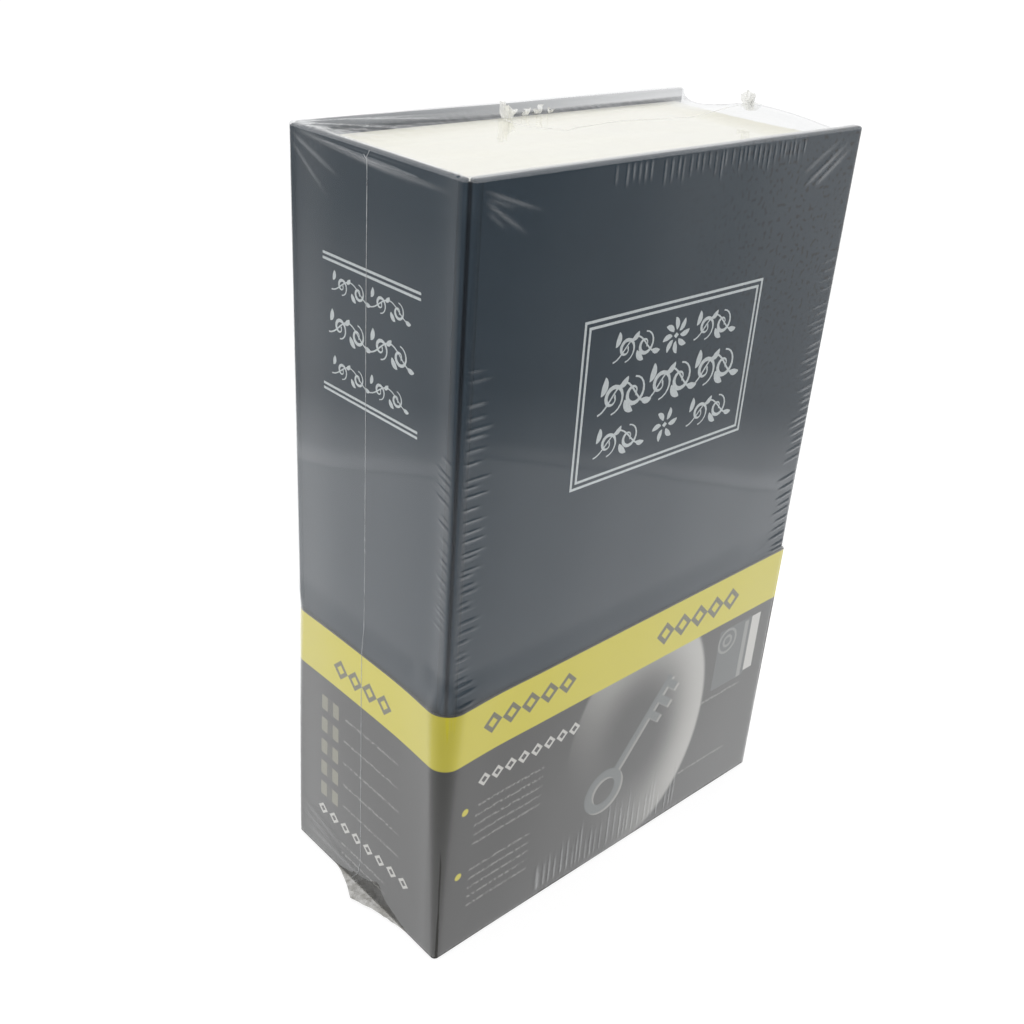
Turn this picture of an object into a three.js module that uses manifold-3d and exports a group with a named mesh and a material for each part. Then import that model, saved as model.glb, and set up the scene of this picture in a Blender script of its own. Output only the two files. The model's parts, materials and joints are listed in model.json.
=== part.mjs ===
// Book diversion safe: a hard-cover book whose page block is a moulded shell round a lockable
// steel cash box, with the paper sleeve and the film that it is sold in.
// Millimetres. +X runs from the spine to the fore-edge, +Y from the front cover to the back
// cover, +Z from the tail up to the head. The origin is the middle of the footprint.

import * as THREE from 'three';
import { mergeVertices } from 'three/addons/utils/BufferGeometryUtils.js';
import Module from 'manifold-3d';

const wasm = await Module();
wasm.setup();

// Whole book
const BOOK_WIDTH = 115;
const BOOK_DEPTH = 55;
const BOOK_HEIGHT = 180;

// Fits and cuts
const GAP = 0.3; // between pieces that lie against each other
const OVERRUN = 2; // how far every cut runs past what it cuts

// Case binding: three cloth-covered boards and the cloth joints between them
const BOARD_THICKNESS = 2.4;
const SPINE_THICKNESS = 1.6;
const BOARD_EDGE = 0.5; // soft edge of a covered board
const BOARD_CORNER = 0.9;
const GROOVE_WIDTH = 2; // from the book's corner to each board
const HINGE_INSET = 0.8; // the cover turns this far inside the book's corner
const JOINT_CLOTH = 0.55;
const JOINT_END_INSET = 0.5;
const PASTEDOWN_THICKNESS = 0.3;
const PASTEDOWN_MARGIN = 1.5;

// Paper sleeve
const SLEEVE_HEIGHT = 70;
const SLEEVE_CARD = 0.4;
const SLEEVE_CORNER_BEND = 2.2; // inner radius round the spine's corners
const SLEEVE_EDGE_BEND = 0.5; // inner radius round a board's fore-edge
const SLEEVE_FLAP_DEPTH = 30;
const SLEEVE_TURN_IN = 3;

// Shrink film, where it bridges the open sides between the boards
const FILM_SHEET = 0.25;
const FILM_DRAW_REACH = 1.7; // how soon it draws in from the boards' edges
const FILM_CORNER = 1.2;
const FILM_STATION_SHARES = [0, 0.03, 0.07, 0.13, 0.23]; // of half its width, from an edge inwards

// Page block: a moulding with page-like outsides, cored out from behind
const HEAD_SQUARE = 3; // the boards stand this far past the block at head and tail
const FORE_SQUARE = 3.5;
const FORE_HOLLOW = 2.5; // depth of the fore-edge's hollow
const BLOCK_WALL = 2;
const BLOCK_SKIRT = 1.8;
const BLOCK_FLOOR = 2;
const BLOCK_RIM = 2;
const BLOCK_RIB = 1.2;
const SIDE_CORE_WIDTH = 4.8;
const END_CORE_WIDTH = 3.2;
const SIDE_CELL_COUNT = 8;
const END_CELL_COUNT = 5;

// Cash tray and lid, folded from steel sheet
const SHEET = 1;
const TRAY_CLEARANCE = 1; // between the tray and the block's pocket
const TRAY_BEND = 2.5; // outer radius of the tray's upright corners
const FLANGE_LAP = 4; // how far the tray's flange lies on the block
const FLANGE_SINK = 0.3; // below the block's front face
const LID_SINK = 1.5; // from the flange's front down to the lid's
const LID_CLEARANCE = 0.6;
const LID_TURN_DOWN = 5;
const LID_BEND = 1.2; // outer radius of the fold between the lid's face and its edges
const LID_CORNER = 0.5; // the lid's upright corners have this radius and the fold's together
const LID_PANEL_SINK = 0.6;
const LID_PANEL_CORNER = 6;
const LID_PANEL_MARGIN = 9;

// Lid hinge: knuckles curled from the tray and from the lid, on one pin
const PIN_RADIUS = 1;
const PIN_CLEARANCE = 0.3;
const KNUCKLE_COUNT = 9; // an odd number, so that the tray has both end knuckles
const KNUCKLE_GAP = 0.4;
const CURL_SWEEP_DEG = 290; // how far the sheet is bent round the pin

// Cam lock
const BARREL_RADIUS = 8;
const BARREL_FLAT = 6.8; // from the lock's axis to each flat
const LOCK_FLANGE_RADIUS = 10;
const LOCK_FLANGE_THICKNESS = 1.2;
const LOCK_FLANGE_CHAMFER = 0.5;
const PLUG_RADIUS = 5;
const PLUG_RECESS = 0.3; // the plug's face lies this far inside the flange
const PLUG_SQUARE = 4.6;
const KEYWAY_WIDTH = 1.9;
const KEYWAY_HEIGHT = 7.8;
const KEYWAY_DEPTH = 5.5;
const NUT_THICKNESS = 3;
const NUT_ACROSS_FLATS = 20;
const CAM_LENGTH = 17; // from the lock's axis to the tip
const CAM_WIDTH = 8;
const CAM_THICKNESS = 1.6;
const CAM_LAP = 4; // how far the tip goes behind the strike
const CAM_SCREW_RADIUS = 1.2;
const CAM_SCREW_LENGTH = 5;
const CAM_SCREW_HEAD_RADIUS = 4;
const CAM_SCREW_HEAD = 1.6;

// Strike in the tray, with its rivets
const STRIKE_THICKNESS = 1.2;
const STRIKE_REACH = 6;
const STRIKE_HEIGHT = 18;
const STRIKE_DEPTH = 13;
const STRIKE_CORNER = 2;
const RIVET_RADIUS = 1.1;
const RIVET_HEAD_RADIUS = 2;
const RIVET_HEAD = 0.9;
const RIVET_TAIL = 0.6;

// Screws that hold the tray to the block's floor
const SCREW_RADIUS = 1.2;
const SCREW_HEAD_RADIUS = 3;
const SCREW_HEAD = 0.9;
const SCREW_INSET = 14; // from the tray's walls

// Keys
const KEY_THICKNESS = 1.6;
const KEY_BOW_RADIUS = 9.5;
const KEY_HOLE_RADIUS = 2.8;
const KEY_HOLE_OFFSET = 4.5;
const KEY_BLADE_LENGTH = 26;
const KEY_BLADE_WIDTH = 7;
const KEY_SHOULDER = 3;
const KEY_CUT_WIDTH = 3;
const KEY_GROOVE_WIDTH = 1.4;
const KEY_GROOVE_DEPTH = 0.5;
const KEY_CUT_DEPTH_SHARES = [0.3, 0.16, 0.36, 0.22, 0.3];
const KEY_ANGLES_DEG = [8, 165];
const KEY_X_SHARES = [0.3, 0.62]; // of the tray's inner width, from the spine side
const KEY_Y_SHARES = [0.55, 0.5]; // of the tray's inner depth, from the lid

// How finely arcs are cut
const BEND_STEPS = 4;
const CURL_STEPS = 8;
const ROUND_STEPS = 20;
const FINE_ROUND_STEPS = 32;
const HOLLOW_STEPS = 10;
const HEXAGON_SIDES = 6;

// Book planes
const SPINE_X = -BOOK_WIDTH / 2;
const FORE_X = BOOK_WIDTH / 2;
const FRONT_Y = -BOOK_DEPTH / 2;
const BACK_Y = BOOK_DEPTH / 2;
const HINGE_X = SPINE_X + HINGE_INSET;
const HINGE_Y = FRONT_Y + HINGE_INSET;

// Page block planes
const BLOCK_SPINE_X = SPINE_X + SPINE_THICKNESS + GAP;
const BLOCK_FORE_X = FORE_X - FORE_SQUARE;
const BLOCK_TAIL_Z = HEAD_SQUARE;
const BLOCK_HEAD_Z = BOOK_HEIGHT - HEAD_SQUARE;
const BLOCK_FRONT_Y = FRONT_Y + BOARD_THICKNESS + PASTEDOWN_THICKNESS + GAP + SLEEVE_CARD + GAP;
const BLOCK_BACK_Y = BACK_Y - BOARD_THICKNESS - PASTEDOWN_THICKNESS;

// Tray planes, outside faces first
const SIDE_RIM = BLOCK_WALL + SIDE_CORE_WIDTH + BLOCK_SKIRT + TRAY_CLEARANCE;
const END_RIM = BLOCK_WALL + END_CORE_WIDTH + BLOCK_SKIRT + TRAY_CLEARANCE;
const TRAY_SPINE_X = BLOCK_SPINE_X + SIDE_RIM;
const TRAY_FORE_X = BLOCK_FORE_X - FORE_HOLLOW - SIDE_RIM;
const TRAY_TAIL_Z = BLOCK_TAIL_Z + END_RIM;
const TRAY_HEAD_Z = BLOCK_HEAD_Z - END_RIM;
const TRAY_BACK_Y = BLOCK_BACK_Y - BLOCK_FLOOR;
const FLANGE_FRONT_Y = BLOCK_FRONT_Y + FLANGE_SINK;
const FLANGE_WIDTH = TRAY_CLEARANCE + FLANGE_LAP;
const INNER_SPINE_X = TRAY_SPINE_X + SHEET;
const INNER_FORE_X = TRAY_FORE_X - SHEET;
const INNER_TAIL_Z = TRAY_TAIL_Z + SHEET;
const INNER_HEAD_Z = TRAY_HEAD_Z - SHEET;
const INNER_BACK_Y = TRAY_BACK_Y - SHEET;

// Lid and its hinge
const BORE_RADIUS = PIN_RADIUS + PIN_CLEARANCE;
const KNUCKLE_RADIUS = BORE_RADIUS + SHEET;
const LID_FRONT_Y = FLANGE_FRONT_Y + LID_SINK;
const LID_EDGE_Y = LID_FRONT_Y + LID_TURN_DOWN;
const PIVOT_X = TRAY_SPINE_X + KNUCKLE_RADIUS;
const PIVOT_Y = LID_FRONT_Y + KNUCKLE_RADIUS;
const LID_SPINE_X = PIVOT_X + KNUCKLE_RADIUS + KNUCKLE_GAP;
const LID_FORE_X = INNER_FORE_X - LID_CLEARANCE;
const LID_TAIL_Z = INNER_TAIL_Z + LID_CLEARANCE;
const LID_HEAD_Z = INNER_HEAD_Z - LID_CLEARANCE;

// Lock, from the strike outwards
const STRIKE_FRONT_Y = LID_EDGE_Y + GAP;
const CAM_FRONT_Y = STRIKE_FRONT_Y + STRIKE_THICKNESS + GAP;
const CAM_BACK_Y = CAM_FRONT_Y + CAM_THICKNESS;
const BARREL_BACK_Y = CAM_FRONT_Y - GAP;
const LOCK_FRONT_Y = LID_FRONT_Y - LOCK_FLANGE_THICKNESS;
const LOCK_X = INNER_FORE_X - STRIKE_REACH + CAM_LAP - CAM_LENGTH;
const LOCK_Z = BOOK_HEIGHT / 2;

function toSolid(geometry) {
  const bare = geometry.clone();
  bare.deleteAttribute('normal');
  bare.deleteAttribute('uv');
  const merged = mergeVertices(bare);
  const mesh = new wasm.Mesh({
    numProp: 3,
    vertProperties: new Float32Array(merged.attributes.position.array),
    triVerts: new Uint32Array(merged.index.array),
  });
  return new wasm.Manifold(mesh);
}

function toGeometry(solid) {
  const mesh = solid.getMesh();
  const geometry = new THREE.BufferGeometry();
  geometry.setAttribute('position', new THREE.BufferAttribute(mesh.vertProperties, 3));
  geometry.setIndex(new THREE.BufferAttribute(mesh.triVerts, 1));
  geometry.computeVertexNormals();
  return geometry;
}

function joined(first, ...others) {
  const solid = others.reduce((sum, other) => sum.add(toSolid(other)), toSolid(first));
  return toGeometry(solid);
}

function cutAway(body, ...tools) {
  const solid = tools.reduce((rest, tool) => rest.subtract(toSolid(tool)), toSolid(body));
  return toGeometry(solid);
}

// A block between two corners.
function blockBetween(low, high) {
  const size = high.map((value, axis) => value - low[axis]);
  const geometry = new THREE.BoxGeometry(...size);
  const centre = high.map((value, axis) => (value + low[axis]) / 2);
  return geometry.translate(...centre);
}

// A rectangle with round corners, from its two corner points.
function roundedRectangle(left, bottom, right, top, radius) {
  const quarter = Math.PI / 2;
  const shape = new THREE.Shape();
  shape.absarc(right - radius, bottom + radius, radius, -quarter, 0, false);
  shape.absarc(right - radius, top - radius, radius, 0, quarter, false);
  shape.absarc(left + radius, top - radius, radius, quarter, 2 * quarter, false);
  shape.absarc(left + radius, bottom + radius, radius, 2 * quarter, 3 * quarter, false);
  return shape;
}

function discShape(x, y, radius) {
  const shape = new THREE.Shape();
  shape.absarc(x, y, radius, 0, 2 * Math.PI, false);
  return shape;
}

// An (x, y) outline drawn up from one height to another.
function drawnUp(shape, lowZ, highZ, steps = BEND_STEPS) {
  const options = { depth: highZ - lowZ, bevelEnabled: false, curveSegments: steps };
  return new THREE.ExtrudeGeometry(shape, options).translate(0, 0, lowZ);
}

// An (x, z) outline drawn through the book's depth from one y to another.
function drawnBack(shape, frontY, backY, steps = BEND_STEPS) {
  const options = { depth: backY - frontY, bevelEnabled: false, curveSegments: steps };
  const geometry = new THREE.ExtrudeGeometry(shape, options);
  return geometry.rotateX(Math.PI / 2).translate(0, backY, 0);
}

// The same with both its rims rounded, for an outline that is drawn inside the real one by the radius.
function softDrawnBack(shape, frontY, backY, radius) {
  const geometry = new THREE.ExtrudeGeometry(shape, {
    depth: backY - frontY - 2 * radius,
    bevelThickness: radius,
    bevelSize: radius,
    bevelSegments: 2,
    curveSegments: 2,
  });
  return geometry.rotateX(Math.PI / 2).translate(0, backY - radius, 0);
}

// A turned piece on the lock's direction: each point is a radius and a y.
function turned(points, steps = ROUND_STEPS) {
  return new THREE.LatheGeometry(points.map(([radius, y]) => new THREE.Vector2(radius, y)), steps);
}

// Bends a line of corner points: every inner corner gets an arc of its own radius.
function bentLine(corners, radii) {
  const line = [corners[0]];
  for (let i = 1; i < corners.length - 1; i += 1) {
    const towards = corners[i].clone().sub(corners[i - 1]).normalize();
    const away = corners[i + 1].clone().sub(corners[i]).normalize();
    const radius = radii[i - 1];
    const centre = corners[i].clone().addScaledVector(towards, -radius).addScaledVector(away, radius);
    for (let step = 0; step <= BEND_STEPS; step += 1) {
      const angle = (step / BEND_STEPS) * (Math.PI / 2);
      const point = centre.clone();
      point.addScaledVector(away, -radius * Math.cos(angle));
      point.addScaledVector(towards, radius * Math.sin(angle));
      line.push(point);
    }
  }
  line.push(corners[corners.length - 1]);
  return line;
}

// Moves a line of corner points to its right by the card's thickness.
function movedRight(corners, distance) {
  return corners.map((corner, i) => {
    const before = corners[Math.max(i - 1, 0)];
    const after = corners[Math.min(i + 1, corners.length - 1)];
    const arriving = (i === 0 ? after.clone().sub(corner) : corner.clone().sub(before)).normalize();
    const leaving = (i === corners.length - 1 ? arriving.clone() : after.clone().sub(corner)).normalize();
    const right = new THREE.Vector2(arriving.y + leaving.y, -arriving.x - leaving.x);
    return corner.clone().addScaledVector(right, distance / (1 + arriving.dot(leaving)));
  });
}

// A band of card round the book: the corners are those of its inner face, seen from above,
// with the outside of the band on the right of the line.
function cardBand(corners, radii) {
  const inner = bentLine(corners, radii);
  const outer = bentLine(movedRight(corners, SLEEVE_CARD), radii.map((radius) => radius + SLEEVE_CARD));
  const outline = [...outer, ...inner.reverse()];
  return drawnUp(new THREE.Shape(outline), 0, SLEEVE_HEIGHT);
}

function madeOf(color, roughness, metalness) {
  return new THREE.MeshStandardMaterial({ color, roughness, metalness });
}

const bookcloth = () => madeOf(0x3b4550, 0.55, 0);
const endpaper = () => madeOf(0x2b333c, 0.8, 0);
const pagePlastic = () => madeOf(0xf8f6ea, 0.6, 0);
const sleeveCard = () => madeOf(0x8a8a86, 0.6, 0);
const clearFilm = () => Object.assign(madeOf(0xeef0f2, 0.1, 0), { transparent: true, opacity: 0.3 });
const enamelledSteel = () => madeOf(0x23262a, 0.45, 0.3);
const bareSteel = () => madeOf(0xb9bcc0, 0.35, 1);
const nickel = () => madeOf(0xd6d6d2, 0.2, 1);

function part(name, geometry, material) {
  const mesh = new THREE.Mesh(geometry, material);
  mesh.name = name;
  return mesh;
}

// A covered board of a given width and height, with its outer face on y = 0.
function coveredBoard(width, height, thickness) {
  const radius = BOARD_CORNER - BOARD_EDGE;
  const left = BOARD_EDGE - width / 2;
  const shape = roundedRectangle(left, BOARD_EDGE, -left, height - BOARD_EDGE, radius);
  return softDrawnBack(shape, 0, thickness, BOARD_EDGE);
}

function sideBoard(name) {
  const width = BOOK_WIDTH - GROOVE_WIDTH;
  const board = part(name, coveredBoard(width, BOOK_HEIGHT, BOARD_THICKNESS), bookcloth());
  board.position.x = FORE_X - width / 2;
  return board;
}

function frontBoard() {
  const board = sideBoard('front_board');
  board.position.y = FRONT_Y;
  return board;
}

function backBoard() {
  const board = sideBoard('back_board');
  board.position.y = BACK_Y - BOARD_THICKNESS;
  return board;
}

function spineBoard() {
  const width = BOOK_DEPTH - 2 * GROOVE_WIDTH;
  const board = part('spine_board', coveredBoard(width, BOOK_HEIGHT, SPINE_THICKNESS), bookcloth());
  board.rotation.z = -Math.PI / 2;
  board.position.x = SPINE_X;
  return board;
}

// The cloth of a joint: a hollow quarter round between the spine board and a side board.
function clothJoint(name, cornerY, startAngle) {
  const outside = GROOVE_WIDTH - GAP;
  const inside = outside - JOINT_CLOTH;
  const end = startAngle + Math.PI / 2;
  const shape = new THREE.Shape();
  shape.absarc(SPINE_X, cornerY, outside, startAngle, end, false);
  shape.absarc(SPINE_X, cornerY, inside, end, startAngle, true);
  const geometry = drawnUp(shape, JOINT_END_INSET, BOOK_HEIGHT - JOINT_END_INSET);
  return part(name, geometry, bookcloth());
}

// The lining of a board's inner face.
function pastedown(name, frontY) {
  const left = SPINE_X + GROOVE_WIDTH + PASTEDOWN_MARGIN;
  const low = [left, frontY, PASTEDOWN_MARGIN];
  const high = [FORE_X - PASTEDOWN_MARGIN, frontY + PASTEDOWN_THICKNESS, BOOK_HEIGHT - PASTEDOWN_MARGIN];
  return part(name, blockBetween(low, high), endpaper());
}

// The block's outline from above: straight at the spine, hollow at the fore-edge.
function blockOutline() {
  const halfDepth = (BLOCK_BACK_Y - BLOCK_FRONT_Y) / 2;
  const middleY = (BLOCK_BACK_Y + BLOCK_FRONT_Y) / 2;
  const radius = (halfDepth ** 2 + FORE_HOLLOW ** 2) / (2 * FORE_HOLLOW);
  const reach = Math.asin(halfDepth / radius);
  const centreX = BLOCK_FORE_X - FORE_HOLLOW + radius;
  const shape = new THREE.Shape();
  shape.moveTo(BLOCK_SPINE_X, BLOCK_BACK_Y);
  shape.lineTo(BLOCK_SPINE_X, BLOCK_FRONT_Y);
  shape.absarc(centreX, middleY, radius, Math.PI + reach, Math.PI - reach, true);
  return shape;
}

// One row of cored-out cells along an axis, with a rib between neighbours.
function coreCells(low, high, axis, count) {
  const length = high[axis] - low[axis];
  const cell = (length - (count - 1) * BLOCK_RIB) / count;
  const cells = [];
  for (let i = 0; i < count; i += 1) {
    const cellLow = [...low];
    const cellHigh = [...high];
    cellLow[axis] = low[axis] + i * (cell + BLOCK_RIB);
    cellHigh[axis] = cellLow[axis] + cell;
    cells.push(blockBetween(cellLow, cellHigh));
  }
  return cells;
}

// The hollow ring between the block's outer walls and the skirt round the pocket, open behind.
function blockCores() {
  const frontY = FLANGE_FRONT_Y + SHEET + BLOCK_RIM;
  const backY = BLOCK_BACK_Y + OVERRUN;
  const spineX = BLOCK_SPINE_X + BLOCK_WALL;
  const foreX = BLOCK_FORE_X - FORE_HOLLOW - BLOCK_WALL;
  const tailZ = BLOCK_TAIL_Z + BLOCK_WALL;
  const headZ = BLOCK_HEAD_Z - BLOCK_WALL;
  const innerTailZ = tailZ + END_CORE_WIDTH;
  const innerHeadZ = headZ - END_CORE_WIDTH;
  return [
    ...coreCells([spineX, frontY, tailZ], [foreX, backY, innerTailZ], 0, END_CELL_COUNT),
    ...coreCells([spineX, frontY, innerHeadZ], [foreX, backY, headZ], 0, END_CELL_COUNT),
    ...coreCells(
      [spineX, frontY, innerTailZ + BLOCK_SKIRT],
      [spineX + SIDE_CORE_WIDTH, backY, innerHeadZ - BLOCK_SKIRT],
      2,
      SIDE_CELL_COUNT,
    ),
    ...coreCells(
      [foreX - SIDE_CORE_WIDTH, frontY, innerTailZ + BLOCK_SKIRT],
      [foreX, backY, innerHeadZ - BLOCK_SKIRT],
      2,
      SIDE_CELL_COUNT,
    ),
  ];
}

function screwPlaces() {
  const columns = [INNER_SPINE_X + SCREW_INSET, INNER_FORE_X - SCREW_INSET];
  const rows = [INNER_TAIL_Z + SCREW_INSET, INNER_HEAD_Z - SCREW_INSET];
  return rows.flatMap((z) => columns.map((x) => [x, z]));
}

function screwHoles() {
  return screwPlaces().map(([x, z]) =>
    drawnBack(discShape(x, z, SCREW_RADIUS + GAP), INNER_BACK_Y - OVERRUN, BLOCK_BACK_Y + OVERRUN));
}

function pageBlock() {
  const body = drawnUp(blockOutline(), BLOCK_TAIL_Z, BLOCK_HEAD_Z, HOLLOW_STEPS);
  const pocket = blockBetween(
    [TRAY_SPINE_X - TRAY_CLEARANCE, BLOCK_FRONT_Y - OVERRUN, TRAY_TAIL_Z - TRAY_CLEARANCE],
    [TRAY_FORE_X + TRAY_CLEARANCE, TRAY_BACK_Y, TRAY_HEAD_Z + TRAY_CLEARANCE],
  );
  const rebate = blockBetween(
    [TRAY_SPINE_X - TRAY_CLEARANCE, BLOCK_FRONT_Y - OVERRUN, TRAY_TAIL_Z - FLANGE_WIDTH - GAP],
    [TRAY_FORE_X + FLANGE_WIDTH + GAP, FLANGE_FRONT_Y + SHEET, TRAY_HEAD_Z + FLANGE_WIDTH + GAP],
  );
  return part('page_block', cutAway(body, pocket, rebate, ...blockCores(), ...screwHoles()), pagePlastic());
}

// The stretches of the hinge that belong to the tray (first 0) or to the lid (first 1).
function knuckleSpans(first) {
  const length = (LID_HEAD_Z - LID_TAIL_Z - (KNUCKLE_COUNT - 1) * KNUCKLE_GAP) / KNUCKLE_COUNT;
  const spans = [];
  for (let i = first; i < KNUCKLE_COUNT; i += 2) {
    const low = LID_TAIL_Z + i * (length + KNUCKLE_GAP);
    spans.push([low, low + length]);
  }
  return spans;
}

// One knuckle: the sheet leaves its leaf at an angle about the pin and is bent round it, which
// leaves a slit between its end and the leaf.
function knuckleCurl([low, high], leafAngle, direction) {
  const end = leafAngle + direction * THREE.MathUtils.degToRad(CURL_SWEEP_DEG);
  const clockwise = direction < 0;
  const section = new THREE.Shape();
  section.absarc(PIVOT_X, PIVOT_Y, KNUCKLE_RADIUS, leafAngle, end, clockwise);
  section.absarc(PIVOT_X, PIVOT_Y, BORE_RADIUS, end, leafAngle, !clockwise);
  return drawnUp(section, low, high, CURL_STEPS);
}

// The two rivets' places on the fore-edge wall, as y and z.
function rivetPlaces() {
  const y = STRIKE_FRONT_Y + STRIKE_DEPTH / 2;
  return [-1, 1].map((side) => [y, LOCK_Z + side * STRIKE_HEIGHT / 4]);
}

function rivetHoles() {
  return rivetPlaces().map(([y, z]) => {
    const length = STRIKE_THICKNESS + SHEET + 2 * OVERRUN;
    const hole = new THREE.CylinderGeometry(RIVET_RADIUS + GAP, RIVET_RADIUS + GAP, length, ROUND_STEPS);
    return hole.rotateZ(Math.PI / 2).translate(INNER_FORE_X, y, z);
  });
}

function cashTray() {
  const outside = roundedRectangle(TRAY_SPINE_X, TRAY_TAIL_Z, TRAY_FORE_X, TRAY_HEAD_Z, TRAY_BEND);
  const innerBend = TRAY_BEND - SHEET;
  const inside = roundedRectangle(INNER_SPINE_X, INNER_TAIL_Z, INNER_FORE_X, INNER_HEAD_Z, innerBend);
  const walls = drawnBack(outside, FLANGE_FRONT_Y + SHEET, TRAY_BACK_Y);
  const flangeShape = roundedRectangle(
    TRAY_SPINE_X,
    TRAY_TAIL_Z - FLANGE_WIDTH,
    TRAY_FORE_X + FLANGE_WIDTH,
    TRAY_HEAD_Z + FLANGE_WIDTH,
    TRAY_BEND,
  );
  const flange = drawnBack(flangeShape, FLANGE_FRONT_Y, FLANGE_FRONT_Y + SHEET);
  const cavity = drawnBack(inside, FLANGE_FRONT_Y - OVERRUN, INNER_BACK_Y);
  // The hinge wall is lower than the others and ends in curls round the pin.
  const hingeWallY = PIVOT_Y + KNUCKLE_RADIUS + GAP;
  const hingeCut = blockBetween(
    [TRAY_SPINE_X - OVERRUN, FLANGE_FRONT_Y - OVERRUN, INNER_TAIL_Z],
    [INNER_SPINE_X + TRAY_BEND, hingeWallY, INNER_HEAD_Z],
  );
  const curls = knuckleSpans(0).flatMap((span) => [
    knuckleCurl(span, Math.PI, 1),
    blockBetween([TRAY_SPINE_X, PIVOT_Y, span[0]], [INNER_SPINE_X, hingeWallY + SHEET, span[1]]),
  ]);
  const pan = cutAway(joined(walls, flange), cavity, hingeCut);
  const tray = cutAway(joined(pan, ...curls), ...rivetHoles(), ...screwHoles());
  return part('cash_tray', tray, enamelledSteel());
}

// The hole that keeps the lock from turning: a disc with two flats.
function barrelHole() {
  const radius = BARREL_RADIUS + GAP;
  const flat = BARREL_FLAT + GAP;
  const disc = drawnBack(discShape(LOCK_X, LOCK_Z, radius), LOCK_FRONT_Y, LID_EDGE_Y, FINE_ROUND_STEPS);
  const reach = radius + OVERRUN;
  const above = blockBetween([LOCK_X - reach, LOCK_FRONT_Y - OVERRUN, LOCK_Z + flat],
    [LOCK_X + reach, LID_EDGE_Y + OVERRUN, LOCK_Z + reach]);
  const below = blockBetween([LOCK_X - reach, LOCK_FRONT_Y - OVERRUN, LOCK_Z - reach],
    [LOCK_X + reach, LID_EDGE_Y + OVERRUN, LOCK_Z - flat]);
  return cutAway(disc, above, below);
}

// The lid's outline, drawn in by a distance.
function lidOutline(inset, radius) {
  return roundedRectangle(
    LID_SPINE_X + inset, LID_TAIL_Z + inset, LID_FORE_X - inset, LID_HEAD_Z - inset, radius);
}

function cashLid() {
  // The soft edge puts back what the outline is drawn in by.
  const outside = lidOutline(LID_BEND, LID_CORNER);
  const inside = lidOutline(SHEET, LID_CORNER);
  // A pressed panel stiffens the lid between the hinge and the lock.
  const panel = (inset) => roundedRectangle(
    LID_SPINE_X + LID_PANEL_MARGIN + inset,
    LID_TAIL_Z + LID_PANEL_MARGIN + inset,
    LOCK_X - LOCK_FLANGE_RADIUS - LID_PANEL_MARGIN - inset,
    LID_HEAD_Z - LID_PANEL_MARGIN - inset,
    LID_PANEL_CORNER,
  );
  const sheetBackY = LID_FRONT_Y + SHEET;
  const blankBackY = LID_EDGE_Y + LID_BEND + OVERRUN;
  const behind = blockBetween(
    [LID_SPINE_X - OVERRUN, LID_EDGE_Y, LID_TAIL_Z - OVERRUN],
    [LID_FORE_X + OVERRUN, blankBackY + OVERRUN, LID_HEAD_Z + OVERRUN],
  );
  const pan = cutAway(
    softDrawnBack(outside, LID_FRONT_Y, blankBackY, LID_BEND),
    drawnBack(inside, sheetBackY, blankBackY),
    behind,
  );
  const pressing = drawnBack(panel(-SHEET), LID_FRONT_Y + SHEET / 2, sheetBackY + LID_PANEL_SINK);
  const hollow = drawnBack(panel(0), LID_FRONT_Y - OVERRUN, LID_FRONT_Y + LID_PANEL_SINK);
  const curls = knuckleSpans(1).flatMap((span) => [
    knuckleCurl(span, -Math.PI / 2, -1),
    blockBetween([PIVOT_X, LID_FRONT_Y, span[0]], [LID_SPINE_X + 2 * LID_BEND, sheetBackY, span[1]]),
  ]);
  const lid = cutAway(joined(pan, pressing, ...curls), hollow, barrelHole());
  return part('cash_lid', lid, enamelledSteel());
}

function hingePin() {
  const length = INNER_HEAD_Z - INNER_TAIL_Z - 2 * GAP;
  const geometry = new THREE.CylinderGeometry(PIN_RADIUS, PIN_RADIUS, length, ROUND_STEPS);
  const pin = part('hinge_pin', geometry, bareSteel());
  pin.rotation.x = Math.PI / 2;
  pin.position.set(PIVOT_X, PIVOT_Y, (INNER_HEAD_Z + INNER_TAIL_Z) / 2);
  return pin;
}

// The lock's pieces are made round y = 0 at the lid's front face, and placed on the lock's axis.
function onLockAxis(name, geometry, material) {
  const mesh = part(name, geometry, material);
  mesh.position.set(LOCK_X, LID_FRONT_Y, LOCK_Z);
  return mesh;
}

function lockBody() {
  const bore = PLUG_RADIUS + GAP;
  const front = -LOCK_FLANGE_THICKNESS;
  const back = BARREL_BACK_Y - LID_FRONT_Y;
  const body = turned([
    [bore, front],
    [bore, back],
    [BARREL_RADIUS, back],
    [BARREL_RADIUS, 0],
    [LOCK_FLANGE_RADIUS, 0],
    [LOCK_FLANGE_RADIUS, front + LOCK_FLANGE_CHAMFER],
    [LOCK_FLANGE_RADIUS - LOCK_FLANGE_CHAMFER, front],
    [bore, front],
  ].reverse(), FINE_ROUND_STEPS);
  const reach = BARREL_RADIUS + OVERRUN;
  const flats = [-1, 1].map((side) => {
    const near = Math.min(side * BARREL_FLAT, side * reach);
    const far = Math.max(side * BARREL_FLAT, side * reach);
    return blockBetween([-reach, 0, near], [reach, back + OVERRUN, far]);
  });
  return onLockAxis('lock_body', cutAway(body, ...flats), nickel());
}

function lockNut() {
  const cornerRadius = NUT_ACROSS_FLATS / 2 / Math.cos(Math.PI / HEXAGON_SIDES);
  const shape = new THREE.Shape();
  shape.absarc(0, 0, cornerRadius, 0, 2 * Math.PI, false);
  const hexagon = drawnBack(shape, SHEET, SHEET + NUT_THICKNESS, HEXAGON_SIDES);
  const bore = discShape(0, 0, BARREL_RADIUS + GAP);
  const hole = drawnBack(bore, SHEET - OVERRUN, SHEET + NUT_THICKNESS + OVERRUN, FINE_ROUND_STEPS);
  return onLockAxis('lock_nut', cutAway(hexagon, hole), bareSteel());
}

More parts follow.
